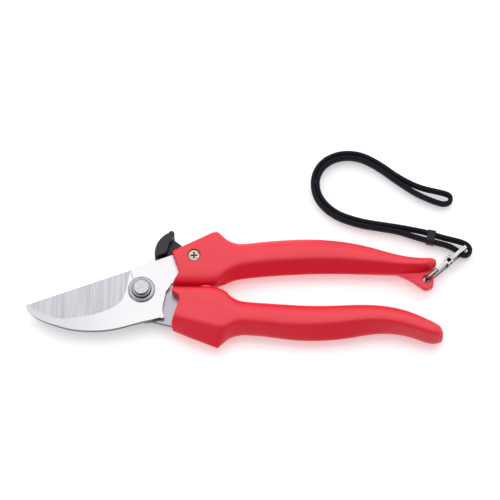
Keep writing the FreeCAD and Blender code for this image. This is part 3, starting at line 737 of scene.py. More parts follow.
def build_piece(name: str, sheets: Sequence[Sheet], smooth_angle: float = 40.0) -> bpy.types.Object:
    """Makes one object of closed skins, with faces outwards and a map of rows and columns.

    Args:
        name: The object's name.
        sheets: The skins.
        smooth_angle: Edges sharper than this, in degrees, stay sharp.

    Returns:
        The object, linked to the scene.
    """
    vertices, quads, triangles, maps = [], [], [], []
    count = 0
    for sheet in sheets:
        if sheet.volume() < 0:
            sheet = replace(sheet, points=sheet.points[:, ::-1])
        points, four, three = sheet.faces(count)
        maps.append(sheet.map_of(len(points)))
        vertices.append(points)
        quads.append(four)
        triangles.append(three)
        count += len(points)
    mesh = bpy.data.meshes.new(name)
    faces = np.vstack(quads).tolist() + np.vstack(triangles).tolist()
    mesh.from_pydata(np.vstack(vertices).tolist(), [], faces)
    layer = mesh.uv_layers.new(name="Plaits")
    corner_of = np.zeros(len(mesh.loops), np.int64)
    mesh.loops.foreach_get("vertex_index", corner_of)
    layer.data.foreach_set("uv", np.vstack(maps)[corner_of].astype(np.float32).ravel())
    mesh.validate()
    mesh.update()
    if any(sheet.pinched for sheet in sheets):
        weld(mesh)
    piece = bpy.data.objects.new(name, mesh)
    bpy.context.scene.collection.objects.link(piece)
    soften_shading(piece, smooth_angle)
    return piece


def weld(mesh: bpy.types.Mesh) -> None:
    """Joins the points of a mesh that lie on each other."""
    work = bmesh.new()
    work.from_mesh(mesh)
    bmesh.ops.remove_doubles(work, verts=work.verts, dist=WELD_GAP)
    bmesh.ops.dissolve_degenerate(work, edges=work.edges, dist=WELD_GAP)
    work.to_mesh(mesh)
    work.free()


def soften_shading(piece: bpy.types.Object, smooth_angle: float) -> None:
    """Shades a mesh smooth, with edges sharper than smooth_angle degrees kept sharp."""
    mesh = piece.data
    mesh.polygons.foreach_set("use_smooth", np.ones(len(mesh.polygons), bool))
    mesh.set_sharp_from_angle(angle=math.radians(smooth_angle))
    mesh.update()


def carry(path: np.ndarray, side: np.ndarray, up: np.ndarray, profile: np.ndarray) -> np.ndarray:
    """Carries a flat profile along a path: path + side by its first number + up by its second.

    Args:
        path: Points, (n, 3).
        side: Unit vectors at the points, (n, 3).
        up: Unit vectors at the points, (n, 3).
        profile: The profile's points, (m, 2), or (n, m, 2) where it changes along the path.

    Returns:
        The grid, (n, m, 3).
    """
    shape = profile if profile.ndim == 3 else profile[None]
    return path[:, None] + side[:, None] * shape[..., 0:1] + up[:, None] * shape[..., 1:2]


def round_profile(
    half_width: np.ndarray | float,
    half_height: np.ndarray | float,
    fullness: np.ndarray | float,
    count: int,
) -> np.ndarray:
    """A superellipse: an ellipse's points pushed out by 1 / (|cos| ** n + |sin| ** n) ** (1 / n).

    Args:
        half_width: Half its width; one number or one for each station.
        half_height: Half its height.
        fullness: The n above; 2 is an ellipse, and larger is nearer to a rectangle.
        count: Points round it.

    Returns:
        The profile, (stations, count, 2).
    """
    turn = np.linspace(0.0, math.tau, count, endpoint=False)[None]
    wide = np.atleast_1d(half_width)[:, None]
    high = np.atleast_1d(half_height)[:, None]
    full = np.atleast_1d(fullness)[:, None]
    across, up = np.cos(turn), np.sin(turn)
    push = (np.abs(across) ** full + np.abs(up) ** full) ** (-1.0 / full)
    return np.stack((wide * across * push, high * up * push), axis=-1)


def lathe(profile: np.ndarray, centre: tuple[float, float], count: int = 96) -> Sheet:
    """Turns a profile of (radius, z) about an upright axis: centre + radius (cos a, sin a), z.

    Args:
        profile: Points (radius, z), from one pole to the other.
        centre: The axis in plan.
        count: Steps round.

    Returns:
        The closed skin.
    """
    turn = np.linspace(0.0, math.tau, count, endpoint=False)
    radius, height = profile[:, 0:1], profile[:, 1:2]
    grid = np.stack(
        (
            centre[0] + radius * np.cos(turn),
            centre[1] + radius * np.sin(turn),
            np.broadcast_to(height, (len(profile), count)),
        ),
        axis=-1,
    )
    return Sheet(grid)


def dress(piece: bpy.types.Object, material: bpy.types.Material) -> None:
    """Gives a piece one material on every face."""
    piece.data.materials.clear()
    piece.data.materials.append(material)


def settle(
    piece: bpy.types.Object,
    material: bpy.types.Material,
    nodes: Sequence[str],
    body: str | None,
) -> bpy.types.Object:
    """Dresses a new piece, hides the nodes that it stands for, and lets it ride on its body.

    Args:
        piece: The new piece.
        material: Its finish.
        nodes: The nodes that it replaces.
        body: The body that it rides on, or None, where it rides on none.

    Returns:
        The piece.
    """
    dress(piece, material)
    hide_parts(*nodes)
    if body:
        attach(piece, body)
    LOG.info("%s stands for %s", piece.name, ", ".join(nodes))
    return piece


def merged_copy(node: bpy.types.Object, name: str) -> bpy.types.Object:
    """A copy of a node's mesh with its corners joined and its flat faces whole.

    Args:
        node: The node's object.
        name: The copy's name.

    Returns:
        The new object.
    """
    work = bmesh.new()
    work.from_mesh(node.data)
    bmesh.ops.remove_doubles(work, verts=work.verts, dist=MERGE_GAP)
    bmesh.ops.dissolve_limit(work, angle_limit=FLAT_ANGLE, verts=work.verts, edges=work.edges)
    bmesh.ops.recalc_face_normals(work, faces=work.faces)
    mesh = bpy.data.meshes.new(name)
    work.to_mesh(mesh)
    work.free()
    piece = bpy.data.objects.new(name, mesh)
    bpy.context.scene.collection.objects.link(piece)
    return piece


def ease_edges(piece: bpy.types.Object, radius: float, segments: int = 3) -> None:
    """Rounds every edge sharper than the eased angle with a live Bevel.

    Args:
        piece: The piece.
        radius: The bevel's width, in metres.
        segments: Faces across it.
    """
    bevel = piece.modifiers.new("Eased edges", "BEVEL")
    bevel.width = radius
    bevel.segments = segments
    bevel.limit_method = "ANGLE"
    bevel.angle_limit = EASED_ANGLE
    bevel.harden_normals = False
    soften_shading(piece, 60.0)


def cut_away(piece: bpy.types.Object, cutters: Sequence[bpy.types.Object]) -> None:
    """Cuts the cutters out of the piece for good, then removes them.

    Args:
        piece: The piece.
        cutters: Closed meshes.
    """
    for cutter in cutters:
        step = piece.modifiers.new("Cut", "BOOLEAN")
        step.operation = "DIFFERENCE"
        step.solver = "EXACT"
        step.object = cutter
    bpy.context.view_layer.update()
    seen = piece.evaluated_get(bpy.context.evaluated_depsgraph_get())
    mesh = bpy.data.meshes.new_from_object(seen)
    piece.modifiers.clear()
    piece.data = mesh
    for cutter in cutters:
        bpy.data.objects.remove(cutter)


# ---------------------------------------------------------------------------------- pieces


@dataclass
class Grip:
    """One moulded grip, in millimetres: sections carried from its front face to its tail.

    Each section is a superellipse between the back and the palm line, full at the head and
    rounder along the handle. The front rows are sheared to the front line. On both grips the
    back is the edge towards +Y and the palm is the edge towards -Y, where the flank lies.
    """

    name: str
    node: str
    body: str
    back: Sequence[Corner]
    palm: Sequence[Corner]
    front: Sequence[tuple[float, float]]
    fullness: Sequence[tuple[float, float]]
    crease: Sequence[Corner]
    front_x: float
    tail_x: float
    middle: float = 6.5
    half_depth: float = 6.5
    tail_round: float = 5.0
    front_ease: float = 0.5
    shear_reach: float = 10.0
    stations: int = 220
    columns: int = 128
    flank_play: float = 0.6
    crease_limit: float = 0.2
    crispness: float = 26.0
    even_share: float = 0.45
    tail_depth: float = 0.30
    cap_rows: int = 6
    cap_width: float = 0.85
    smooth_angle: float = 50.0

    def line(self, corners: Sequence[Corner], x: np.ndarray) -> np.ndarray:
        """The y of a line through corners, at each x."""
        points = eased_corners(corners)
        return np.interp(x, np.maximum.accumulate(points[:, 0]), points[:, 1])

    def flank(
        self, profile: np.ndarray, wide: np.ndarray, deep: np.ndarray, crease: np.ndarray
    ) -> np.ndarray:
        """Pulls sections in to the flank, a flat from the crease to just past the palm line.

        A point (across, up) lies q of the way out to the flank, where q is
        (|up| (reach + crease) - deep across) / (deep reach), and is divided by
        (1 + q ** n) ** (1 / n), so that n sets how crisp the crease is.

        Args:
            profile: The sections, (stations, columns, 2).
            wide: Their half widths.
            deep: Their half depths.
            crease: The crease's distance from their middles, negative towards the palm.

        Returns:
            The sections with their flanks.
        """
        reach = (wide + self.flank_play)[:, None]
        at = np.clip(crease, -wide, self.crease_limit * wide)[:, None]
        high = deep[:, None]
        across, up = profile[..., 0], np.abs(profile[..., 1])
        out = np.maximum(up * (reach + at) - high * across, 0.0) / (high * reach)
        return profile / (1.0 + out[..., None] ** self.crispness) ** (1.0 / self.crispness)

    def sections(self) -> tuple[np.ndarray, np.ndarray]:
        """The sections: a rounded profile on each station's centre, from the front to the tail.

        The stations are spread partly evenly and partly as a cosine, closest at both ends.
        Width and centre at a station come from the two lines. Over the tail's last few
        millimetres the depth falls as a quarter ellipse does, and the front's edge is eased.

        Returns:
            The grid, (stations, columns, 3), and the y of each station's centre.
        """
        share = np.linspace(0.0, 1.0, self.stations)
        ends = 0.5 - 0.5 * np.cos(math.pi * share)
        spread = self.even_share * share + (1.0 - self.even_share) * ends
        x = self.front_x + (self.tail_x - self.front_x) * spread
        high, low = self.line(self.back, x), self.line(self.palm, x)
        to_tail = np.clip((self.tail_x - x) / self.tail_round, 0.0, 1.0)
        tail = np.sqrt(1.0 - (1.0 - to_tail) ** 2)
        to_front = np.clip((x - self.front_x) / self.front_ease, 0.0, 1.0)
        lip = self.front_ease * (1.0 - np.sqrt(1.0 - (1.0 - to_front) ** 2))
        wide = 0.5 * (high - low) - lip
        deep = self.half_depth * (self.tail_depth + (1.0 - self.tail_depth) * tail) - lip
        full = np.interp(x, *np.array(self.fullness, float).T)
        middle = 0.5 * (high + low)
        profile = round_profile(wide, deep, full, self.columns)
        profile = self.flank(profile, wide, deep, self.line(self.crease, x) - middle)
        centre = np.stack((x, middle, np.full_like(x, self.middle)), axis=-1)
        side = np.broadcast_to((0.0, 1.0, 0.0), centre.shape)
        up = np.broadcast_to((0.0, 0.0, 1.0), centre.shape)
        return carry(centre, side, up, profile), middle

    def skin(self) -> Sheet:
        """The grip's outer skin.

        The front face is the first section, closed towards the middle of its depth by the sine
        of even steps. The tail is the last section, closed on to its middle line. Then the
        front rows move to the front line, which fades out over the shear's reach.

        Returns:
            The closed skin, in metres.
        """
        grid, middle = self.sections()
        closing = np.sin(np.linspace(0.0, 0.5 * math.pi, self.cap_rows + 1))[:-1, None]
        face = np.repeat(grid[:1], self.cap_rows, axis=0)
        narrowing = self.cap_width + (1.0 - self.cap_width) * closing
        face[..., 1] = middle[0] + narrowing * (face[..., 1] - middle[0])
        face[..., 2] = self.middle + closing * (face[..., 2] - self.middle)
        grid = np.concatenate((face, grid))
        grid[-1, :, 1] = middle[-1]
        line = np.array(self.front, float)
        shift = np.interp(grid[..., 1], line[:, 0], line[:, 1]) - self.front_x
        fade = 1.0 - smoothstep((grid[..., 0] - self.front_x) / self.shear_reach)
        grid[..., 0] += shift * fade
        return Sheet(grid * MM, pinched=True)

    def build(
        self,
        extra: Sequence[Sheet],
        cutters: Sequence[bpy.types.Object],
        finish: bpy.types.Material,
    ) -> bpy.types.Object:
        """Builds the grip.

        Args:
            extra: More skins of the same moulding.
            cutters: What is cut out of it.
            finish: Its material.

        Returns:
            The grip.
        """
        piece = build_piece(self.name, [self.skin(), *extra], self.smooth_angle)
        cut_away(piece, cutters)
        soften_shading(piece, self.smooth_angle)
        return settle(piece, finish, [self.node], self.body)


def upper_grip() -> Grip:
    """The grip moulded on the cutting blade, with the catch's slot and the lug."""
    return Grip(
        name="upper_grip",
        node="upper_handle",
        body="cutting_half",
        back=(
            (13.6, 18.2, 0.0),
            (34.2, 28.6, 0.15),
            (41.6, 21.8, 0.49),
            (58.0, 24.1, 0.5),
            (80.0, 25.2, 0.5),
            (100.0, 22.6, 0.5),
            (117.0, 17.0, 0.5),
            (127.0, 15.4, 0.5),
            (134.8, 15.4, 0.4),
            (134.9, 12.5, 0.0),
        ),
        palm=(
            (13.6, 2.1, 0.0),
            (36.6, 2.1, 0.4),
            (41.8, 5.2, 0.49),
            (52.0, 6.6, 0.5),
            (64.0, 7.6, 0.5),
            (84.0, 8.5, 0.5),
            (108.0, 7.9, 0.5),
            (125.0, 7.5, 0.5),
            (133.8, 9.6, 0.5),
            (134.9, 12.5, 0.0),
        ),
        crease=(
            (13.6, 1.5, 0.0),
            (33.6, 1.5, 0.2),
            (37.6, 7.6, 0.4),
            (45.0, 11.2, 0.5),
            (58.0, 12.8, 0.5),
            (76.0, 13.8, 0.5),
            (92.0, 13.8, 0.5),
            (107.0, 12.2, 0.5),
            (118.0, 10.8, 0.5),
            (134.9, 10.6, 0.0),
        ),
        front=((2.1, 13.9), (7.6, 17.2), (18.2, 13.6)),
        fullness=((13.0, 4.6), (32.0, 4.6), (44.0, 2.2), (136.0, 2.15)),
        front_x=13.6,
        tail_x=134.9,
    )


def lower_grip() -> Grip:
    """The grip moulded on the counter blade."""
    return Grip(
        name="lower_grip",
        node="lower_handle",
        body="counter_half",
        back=(
            (13.8, 1.2, 0.0),
            (37.0, 1.2, 0.4),
            (42.4, -5.2, 0.49),
            (58.0, -6.3, 0.5),
            (80.0, -7.7, 0.5),
            (104.0, -6.5, 0.5),
            (119.0, -8.8, 0.5),
            (130.0, -13.6, 0.5),
            (136.4, -17.2, 0.4),
            (137.3, -20.8, 0.0),
        ),
        palm=(
            (13.8, -19.2, 0.0),
            (34.8, -27.6, 0.0),
            (41.8, -21.0, 0.5),
            (54.0, -21.4, 0.5),
            (72.0, -24.2, 0.5),
            (90.0, -23.6, 0.5),
            (107.0, -20.2, 0.5),
            (120.0, -21.0, 0.5),
            (131.6, -25.6, 0.4),
            (137.0, -24.4, 0.4),
            (137.3, -20.8, 0.0),
        ),
        crease=(
            (13.8, -13.6, 0.0),
            (37.0, -19.4, 0.2),
            (44.5, -15.6, 0.4),
            (57.0, -17.2, 0.5),
            (74.0, -18.2, 0.5),
            (92.0, -17.0, 0.5),
            (103.0, -15.4, 0.5),
            (115.0, -16.2, 0.5),
            (126.0, -19.8, 0.5),
            (137.3, -23.6, 0.0),
        ),
        front=(
            (-19.4, 14.4),
            (-16.2, 13.8),
            (-6.4, 17.2),
            (-3.6, 17.0),
            (-1.7, 13.9),
            (1.2, 14.4),
        ),
        fullness=((13.0, 4.6), (32.0, 4.6), (44.0, 2.2), (138.0, 2.15)),
        front_x=13.8,
        tail_x=137.3,
    )


@dataclass
class Lug:
    """The flat eye web at the upper grip's tail, as a ring of profiles round its hole."""

    centre: tuple[float, float] = (130.4, 5.3)
    hole: float = 1.8
    middle: float = 6.5
    half_thickness: float = 1.6
    ease: float = 0.5
    samples: int = 900
    steps: int = 128
    ease_steps: int = 6
    outline: Sequence[Corner] = (
        (112.0, 10.5, 0.0),
        (116.5, 8.1, 0.4),
        (122.0, 5.8, 0.5),
        (126.0, 2.9, 0.5),
        (129.8, -0.1, 0.45),
        (133.7, 1.8, 0.35),
        (133.4, 12.0, 0.0),
        (119.0, 12.0, 0.0),
    )

    def reach(self, turn: np.ndarray) -> np.ndarray:
        """How far the outline is from the hole's centre, read from close, even points on it.

        Args:
            turn: Angles round the centre.

        Returns:
            The distances.
        """
        corners = eased_corners(self.outline)
        closed = np.vstack((corners, corners[:1]))
        run = np.r_[0.0, np.cumsum(np.linalg.norm(np.diff(closed, axis=0), axis=1))]
        even = np.linspace(0.0, run[-1], self.samples)
        line = np.column_stack([np.interp(even, run, closed[:, axis]) for axis in (0, 1)])
        away = line - np.array(self.centre)
        angle = np.mod(np.arctan2(away[:, 1], away[:, 0]), math.tau)
        order = np.argsort(angle)
        distance = np.hypot(away[:, 0], away[:, 1])
        return np.interp(turn, angle[order], distance[order], period=math.tau)

    def skin(self) -> Sheet:
        """The web: at each angle a flat profile from the hole to the outline, edges eased.

        Returns:
            The ring, in metres.
        """
        turn = np.linspace(0.0, math.tau, self.steps, endpoint=False)
        corner = np.linspace(0.0, 0.5 * math.pi, self.ease_steps)
        inset = self.ease * (1.0 - np.sin(corner))
        rise = self.half_thickness - self.ease * (1.0 - np.cos(corner))
        shape = (self.steps, self.ease_steps)
        out = self.reach(turn)[:, None] - inset[None]
        out_top = np.stack((out, np.broadcast_to(rise, shape)), axis=-1)
        out_low = out_top[:, ::-1] * (1.0, -1.0)
        hole = np.stack((self.hole + inset, rise), axis=-1)
        in_low = np.broadcast_to(hole * (1.0, -1.0), (*shape, 2))
        in_top = np.broadcast_to(hole[::-1], (*shape, 2))
        profile = np.concatenate((out_top, out_low, in_low, in_top), axis=1)
        grid = np.stack(
            (
                self.centre[0] + profile[..., 0] * np.cos(turn)[:, None],
                self.centre[1] + profile[..., 0] * np.sin(turn)[:, None],
                self.middle + profile[..., 1],
            ),
            axis=-1,
        )
        return Sheet(grid * MM, ring=True)


def upright_cutter(outline: np.ndarray, low: float, high: float) -> bpy.types.Object:
    """A prism on a plan outline, in millimetres, from z low to z high.

    Args:
        outline: Points, (n, 2).
        low: Its lower end.
        high: Its upper end.

    Returns:
        The cutter.
    """
    rows = [np.column_stack((outline, np.full(len(outline), z))) for z in (low, high)]
    return build_piece("cutter", [Sheet(np.stack(rows) * MM)])


def round_cutter(
    start: Sequence[float],
    axis: Sequence[float],
    radius: float,
    length: float,
    count: int = 64,
) -> bpy.types.Object:
    """A cylinder, in millimetres.

    Args:
        start: The middle of its first end.
        axis: Its unit direction, upright or along Y.
        radius: Its radius.
        length: Its length.
        count: Steps round.

    Returns:
        The cutter.
    """
    turn = np.linspace(0.0, math.tau, count, endpoint=False)[:, None]
    right = np.array((1.0, 0.0, 0.0))
    rim = radius * (np.cos(turn) * right + np.sin(turn) * np.cross(axis, right))
    first = np.array(start) + rim
    return build_piece("cutter", [Sheet(np.stack((first, first + np.array(axis) * length)) * MM)])


@dataclass
class CatchBay:
    """The catch's room in the upper grip, in millimetres, round the catch screw's axis."""

    axis: tuple[float, float] = (23.9, 15.4)
    slot: Sequence[tuple[float, float]] = (
        (10.0, 13.8),
        (28.8, 9.9),
        (28.8, 19.6),
        (22.4, 26.0),
        (18.0, 30.0),
        (10.0, 30.0),
    )
    slot_floor: float = 3.95
    slot_roof: float = 6.55
    seat_radius: float = 2.95
    seat_floor: float = 11.0
    bore_radius: float = 2.5
    bore_roof: float = 0.6
    clearance: float = 4.0
    underside: float = -1.0

    def cutters(self) -> list[bpy.types.Object]:
        """The slot, the screw head's seat from above and the insert's bore from below."""
        seat, bore = (*self.axis, self.seat_floor), (*self.axis, self.underside)
        upright = (0.0, 0.0, 1.0)
        return [
            upright_cutter(np.array(self.slot), self.slot_floor, self.slot_roof),
            round_cutter(seat, upright, self.seat_radius, self.clearance),
            round_cutter(bore, upright, self.bore_radius, self.bore_roof - self.underside),
        ]


@dataclass
class PivotStack:
    """The washer and the shouldered nut on the pivot, turned from bar."""

    washer: Sequence[tuple[float, float]] = (
        (3.4, 8.95),
        (6.0, 8.95),
        (6.2, 9.02),
        (6.2, 9.12),
        (6.05, 9.25),
        (5.7, 9.44),
        (5.3, 9.58),
        (4.9, 9.68),
        (4.5, 9.74),
        (3.4, 9.75),
    )
    nut: Sequence[tuple[float, float]] = (
        (3.2, 9.75),
        (4.45, 9.75),
        (4.6, 9.85),
        (4.6, 10.75),
        (4.52, 11.0),
        (4.35, 11.22),
        (4.1, 11.4),
        (3.8, 11.5),
        (3.65, 11.52),
        (3.65, 12.65),
        (3.55, 12.88),
        (3.32, 13.02),
        (3.0, 13.05),
        (1.6, 13.0),
    )

    def build(self, steel: bpy.types.Material) -> None:
        """Builds both pieces.

        Args:
            steel: Their finish.
        """
        for name, node, profile in (
            ("bright_washer", "pivot_washer", self.washer),
            ("shoulder_nut", "pivot_nut", self.nut),
        ):
            sheet = lathe(np.array(profile) * MM, (0.0, 0.0))
            piece = build_piece(name, [sheet], 28.0)
            settle(piece, steel, [node], "cutting_half")


@dataclass
class ReturnSpring:
    """The opening spring, in millimetres: a close coil whose ends sit in the grips' pockets."""

    x: float = 29.4
    z: float = 6.5
    y_from: float = 9.3
    y_to: float = -6.3
    outer_radius: float = 2.5
    wire: float = 0.8
    turns: float = 9.0
    steps_a_turn: int = 36
    steps_round: int = 14
    free_share: float = 0.6
    pocket_radius: float = 2.9
    pocket_length: float = 12.0
    pocket_play: float = 0.2

    def pocket(self, upper: bool) -> bpy.types.Object:
        """What is cut out of a grip for the spring's end, open towards the other grip.

        Args:
            upper: Whether it is the upper grip.

        Returns:
            The cutter.
        """
        way = 1.0 if upper else -1.0
        floor = (self.y_from if upper else self.y_to) + way * self.pocket_play
        start = (self.x, floor, self.z)
        return round_cutter(start, (0.0, -way, 0.0), self.pocket_radius, self.pocket_length)

    def build(self, steel: bpy.types.Material) -> None:
        """Builds the coil: a circle carried along a helix about the Y direction.

        Args:
            steel: Its finish.
        """
        share = np.linspace(0.0, 1.0, int(self.turns * self.steps_a_turn))
        turn = share * self.turns * math.tau
        half = 0.5 * self.wire
        start, end = self.y_from - half, self.y_to + half
        outward = np.stack((np.cos(turn), np.zeros_like(turn), np.sin(turn)), axis=-1)
        path = outward * (self.outer_radius - half) + (self.x, 0.0, self.z)
        path[:, 1] = start + (end - start) * share
        along = np.broadcast_to((0.0, 1.0, 0.0), outward.shape)
        grid = carry(path, outward, along, round_profile(half, half, 2.0, self.steps_round))
        piece = build_piece("return_spring", [Sheet(grid * MM)], 60.0)
        settle(piece, steel, ["opening_spring"], None)
        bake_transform(piece)


@dataclass
class Lanyard:
    """The wrist lanyard, in metres: a flat braid on edge, one loop through the hook's eye."""

    width: float = 0.0042
    thickness: float = 0.0021
    length: float = 0.322
    height: float = 0.00375
    fullness: float = 3.2
    steps_round: int = 28
    plait_pitch: float = 0.0016
    plaits_round: float = 10.0
    keeper_length: float = 0.0038
    keeper_wall: float = 0.0005
    keeper_play: float = 0.00005
    keeper_fullness: Span = (5.0, 4.0)
    keeper_steps: tuple[int, int] = (96, 24)
    keeper_strands: tuple[Span, Span] = ((0.1326, 0.0254), (0.1334, 0.0289))
    route: Sequence[tuple[float, float]] = (
        (0.1326, 0.0254),
        (0.1374, 0.0242),
        (0.1416, 0.0229),
        (0.1450, 0.0207),
        (0.1473, 0.0184),
        (0.1502, 0.0186),
        (0.1513, 0.0214),
        (0.1493, 0.0239),
        (0.1458, 0.0253),
        (0.1384, 0.0271),
        (0.1303, 0.0299),
        (0.1188, 0.0322),
        (0.1091, 0.0337),
        (0.1000, 0.0353),
        (0.0891, 0.0392),
        (0.0819, 0.0467),
        (0.0804, 0.0555),
        (0.0838, 0.0629),
        (0.0911, 0.0669),
        (0.1001, 0.0667),
        (0.1088, 0.0621),
        (0.1180, 0.0548),
        (0.1272, 0.0484),
        (0.1356, 0.0446),
        (0.1402, 0.0434),
        (0.1429, 0.0452),
        (0.1423, 0.0482),
        (0.1376, 0.0496),
        (0.1284, 0.0517),
        (0.1191, 0.0566),
        (0.1098, 0.0639),
        (0.1008, 0.0688),
        (0.0907, 0.0691),
        (0.0821, 0.0644),
        (0.0782, 0.0559),
        (0.0799, 0.0458),
        (0.0878, 0.0376),
        (0.0997, 0.0332),
        (0.1087, 0.0317),
        (0.1181, 0.0301),
        (0.1256, 0.0274),
        (0.1318, 0.0256),
    )

    def centreline(self) -> np.ndarray:
        """The smooth line that the route's points steer, as points along it."""
        curve = bpy.data.curves.new("lanyard_route", "CURVE")
        curve.dimensions = "3D"
        curve.resolution_u = 10
        spline = curve.splines.new("NURBS")
        spline.points.add(len(self.route) - 1)
        for point, (x, y) in zip(spline.points, self.route):
            point.co = (x, y, self.height, 1.0)
        spline.order_u = 3
        spline.use_endpoint_u = True
        holder = bpy.data.objects.new("lanyard_route", curve)
        bpy.context.scene.collection.objects.link(holder)
        bpy.context.view_layer.update()
        mesh = bpy.data.meshes.new_from_object(holder)
        points = np.zeros(len(mesh.vertices) * 3, np.float32)
        mesh.vertices.foreach_get("co", points)
        bpy.data.objects.remove(holder)
        bpy.data.meshes.remove(mesh)
        bpy.data.curves.remove(curve)
        line = points.reshape(-1, 3).astype(float)
        return line[np.r_[True, np.linalg.norm(np.diff(line, axis=0), axis=1) > WELD_GAP]]

    def sleeve(self) -> Sheet:
        """The keeper: a wall between two superellipses round both strands, its section rounded.

        Each point is the wall's middle, plus its half thickness times the section's first
        number, plus the half length along the strands times its second.

        Returns:
            The ring.
        """
        strands = np.array(self.keeper_strands)
        steps_round, section_steps = self.keeper_steps
        apart = strands[1] - strands[0]
        gap = float(np.linalg.norm(apart))
        across = np.array((*(apart / gap), 0.0))
        along = np.array((across[1], -across[0], 0.0))
        half_wide = 0.5 * (gap + self.thickness) + self.keeper_play
        half_tall = 0.5 * self.width + self.keeper_play
        wall = self.keeper_wall
        hole, skin = self.keeper_fullness
        inner = round_profile(half_wide, half_tall, hole, steps_round)[0]
        outer = round_profile(half_wide + wall, half_tall + wall, skin, steps_round)[0]
        section = round_profile(1.0, 1.0, hole, section_steps)[0]
        flat = 0.5 * (outer + inner)[:, None] + 0.5 * (outer - inner)[:, None] * section[:, :1]
        middle = np.array((*strands.mean(axis=0), self.height))
        grid = (
            middle
            + flat[..., :1] * across
            + flat[..., 1:] * (0.0, 0.0, 1.0)
            + 0.5 * self.keeper_length * section[:, 1:] * along
        )
        return Sheet(grid, ring=True)

    def build(self, braid: bpy.types.Material, plastic: bpy.types.Material) -> None:
        """The braid's profile is a rounded rectangle on edge, carried along the centreline.

        Args:
            braid: The cord's finish.
            plastic: The keeper's finish.
        """
        path = self.centreline()
        tangent = np.gradient(path, axis=0)
        tangent /= np.linalg.norm(tangent, axis=1)[:, None]
        side = np.stack((-tangent[:, 1], tangent[:, 0], np.zeros(len(path))), axis=-1)
        side /= np.linalg.norm(side, axis=1)[:, None]
        up = np.broadcast_to((0.0, 0.0, 1.0), side.shape)
        half_thick, half_wide = 0.5 * self.thickness, 0.5 * self.width
        profile = round_profile(half_thick, half_wide, self.fullness, self.steps_round)
        grid = carry(path, side, up, profile)
        run = float(np.linalg.norm(np.diff(path, axis=0), axis=1).sum())
        plaits = (self.plaits_round, round(run / self.plait_pitch))
        strap = build_piece("lanyard_braid", [Sheet(grid, plaits=plaits)], 70.0)
        settle(strap, braid, ["lanyard_strap"], "snap_hook")
        keeper = build_piece("lanyard_sleeve", [self.sleeve()], 60.0)
        settle(keeper, plastic, ["lanyard_keeper"], "snap_hook")
        LOG.info("the braid runs %.3f m", run)


class Softness(Enum):
    """How far a carried-over shape's edges are eased, in metres."""

    CATCH = 0.0006
    COLLAR = 0.0003


@dataclass(frozen=True)
class Lamp:
    """One soft lamp that faces the shears; lengths in metres, power in watts."""

    name: str
    place: tuple[float, float, float]
    size: tuple[float, float]
    power: float

    def hang(self, target: Vector) -> None:
        """Hangs the lamp, turned to the target."""
        data = bpy.data.lights.new(self.name, "AREA")
        data.shape = "RECTANGLE"
        data.size, data.size_y = self.size
        data.energy = self.power
        lamp = bpy.data.objects.new(self.name, data)
        lamp.location = self.place
        aim = target - Vector(self.place)
        lamp.rotation_euler = aim.to_track_quat("-Z", "Y").to_euler()
        bpy.context.scene.collection.objects.link(lamp)


@dataclass
class Studio:
    """Paper floor, soft lamps, a pale room and the camera; lengths in metres."""

    target: tuple[float, float, float] = (0.0495, 0.0201, 0.0065)
    distance: float = 1.2
    elevation: float = math.radians(70.0)
    view_width: float = 0.230
    view_end: float = 10.0
    sensor: float = 36.0
    half_floor: float = 3.0
    exposure: float = 0.12
    lamps: Sequence[Lamp] = (
        Lamp("key", (0.05, 0.50, 1.0), (1.5, 1.2), 4.8),
        Lamp("fill", (-0.6, -0.5, 0.8), (0.4, 0.4), 0.6),
    )
    room_colour: Colour = (0.95, 0.97, 1.0, 1.0)
    room_change: Span = (-0.75, 0.35)
    room_strength: Span = (0.22, 0.95)

    def camera(self) -> None:
        """Places the camera in front of the shears, looking steeply down."""
        data = bpy.data.cameras.new("camera")
        data.sensor_width = self.sensor
        data.lens = self.sensor * self.distance / self.view_width
        data.clip_end = self.view_end
        camera = bpy.data.objects.new("camera", data)
        away = Vector((0.0, -math.cos(self.elevation), math.sin(self.elevation)))
        camera.location = Vector(self.target) + away * self.distance
        camera.rotation_euler = (-away).to_track_quat("-Z", "Y").to_euler()
        bpy.context.scene.collection.objects.link(camera)
        bpy.context.scene.camera = camera

    def floor(self) -> None:
        """Lays the paper."""
        mesh = bpy.data.meshes.new("paper_floor")
        half = self.half_floor
        corners = [(-half, -half, 0), (half, -half, 0), (half, half, 0), (-half, half, 0)]
        mesh.from_pydata(corners, [], [(0, 1, 2, 3)])
        floor = bpy.data.objects.new("paper_floor", mesh)
        bpy.context.scene.collection.objects.link(floor)
        dress(floor, StudioPaper("studio_paper").make())

    def room(self) -> None:
        """Lights the room round the shears, brighter behind them than in front."""
        world = bpy.data.worlds.new("room")
        world.use_nodes = True
        bench = Bench(world.node_tree)
        direction = bench.node("ShaderNodeTexCoord", output="Generated")
        behind = bench.node("ShaderNodeSeparateXYZ", sockets={0: direction}, output="Y")
        strength = bench.step(behind, *self.room_change, *self.room_strength)
        sky = bench.tree.nodes["Background"]
        sky.inputs["Color"].default_value = self.room_colour
        bench.tree.links.new(strength.socket, sky.inputs["Strength"])
        bpy.context.scene.world = world
        bpy.context.scene.view_settings.view_transform = "Standard"
        bpy.context.scene.view_settings.exposure = self.exposure

    def build(self) -> None:
        """Builds the whole studio: the camera, the paper, the lamps and the room."""
        self.camera()
        self.floor()
        for lamp in self.lamps:
            lamp.hang(Vector(self.target))
        self.room()


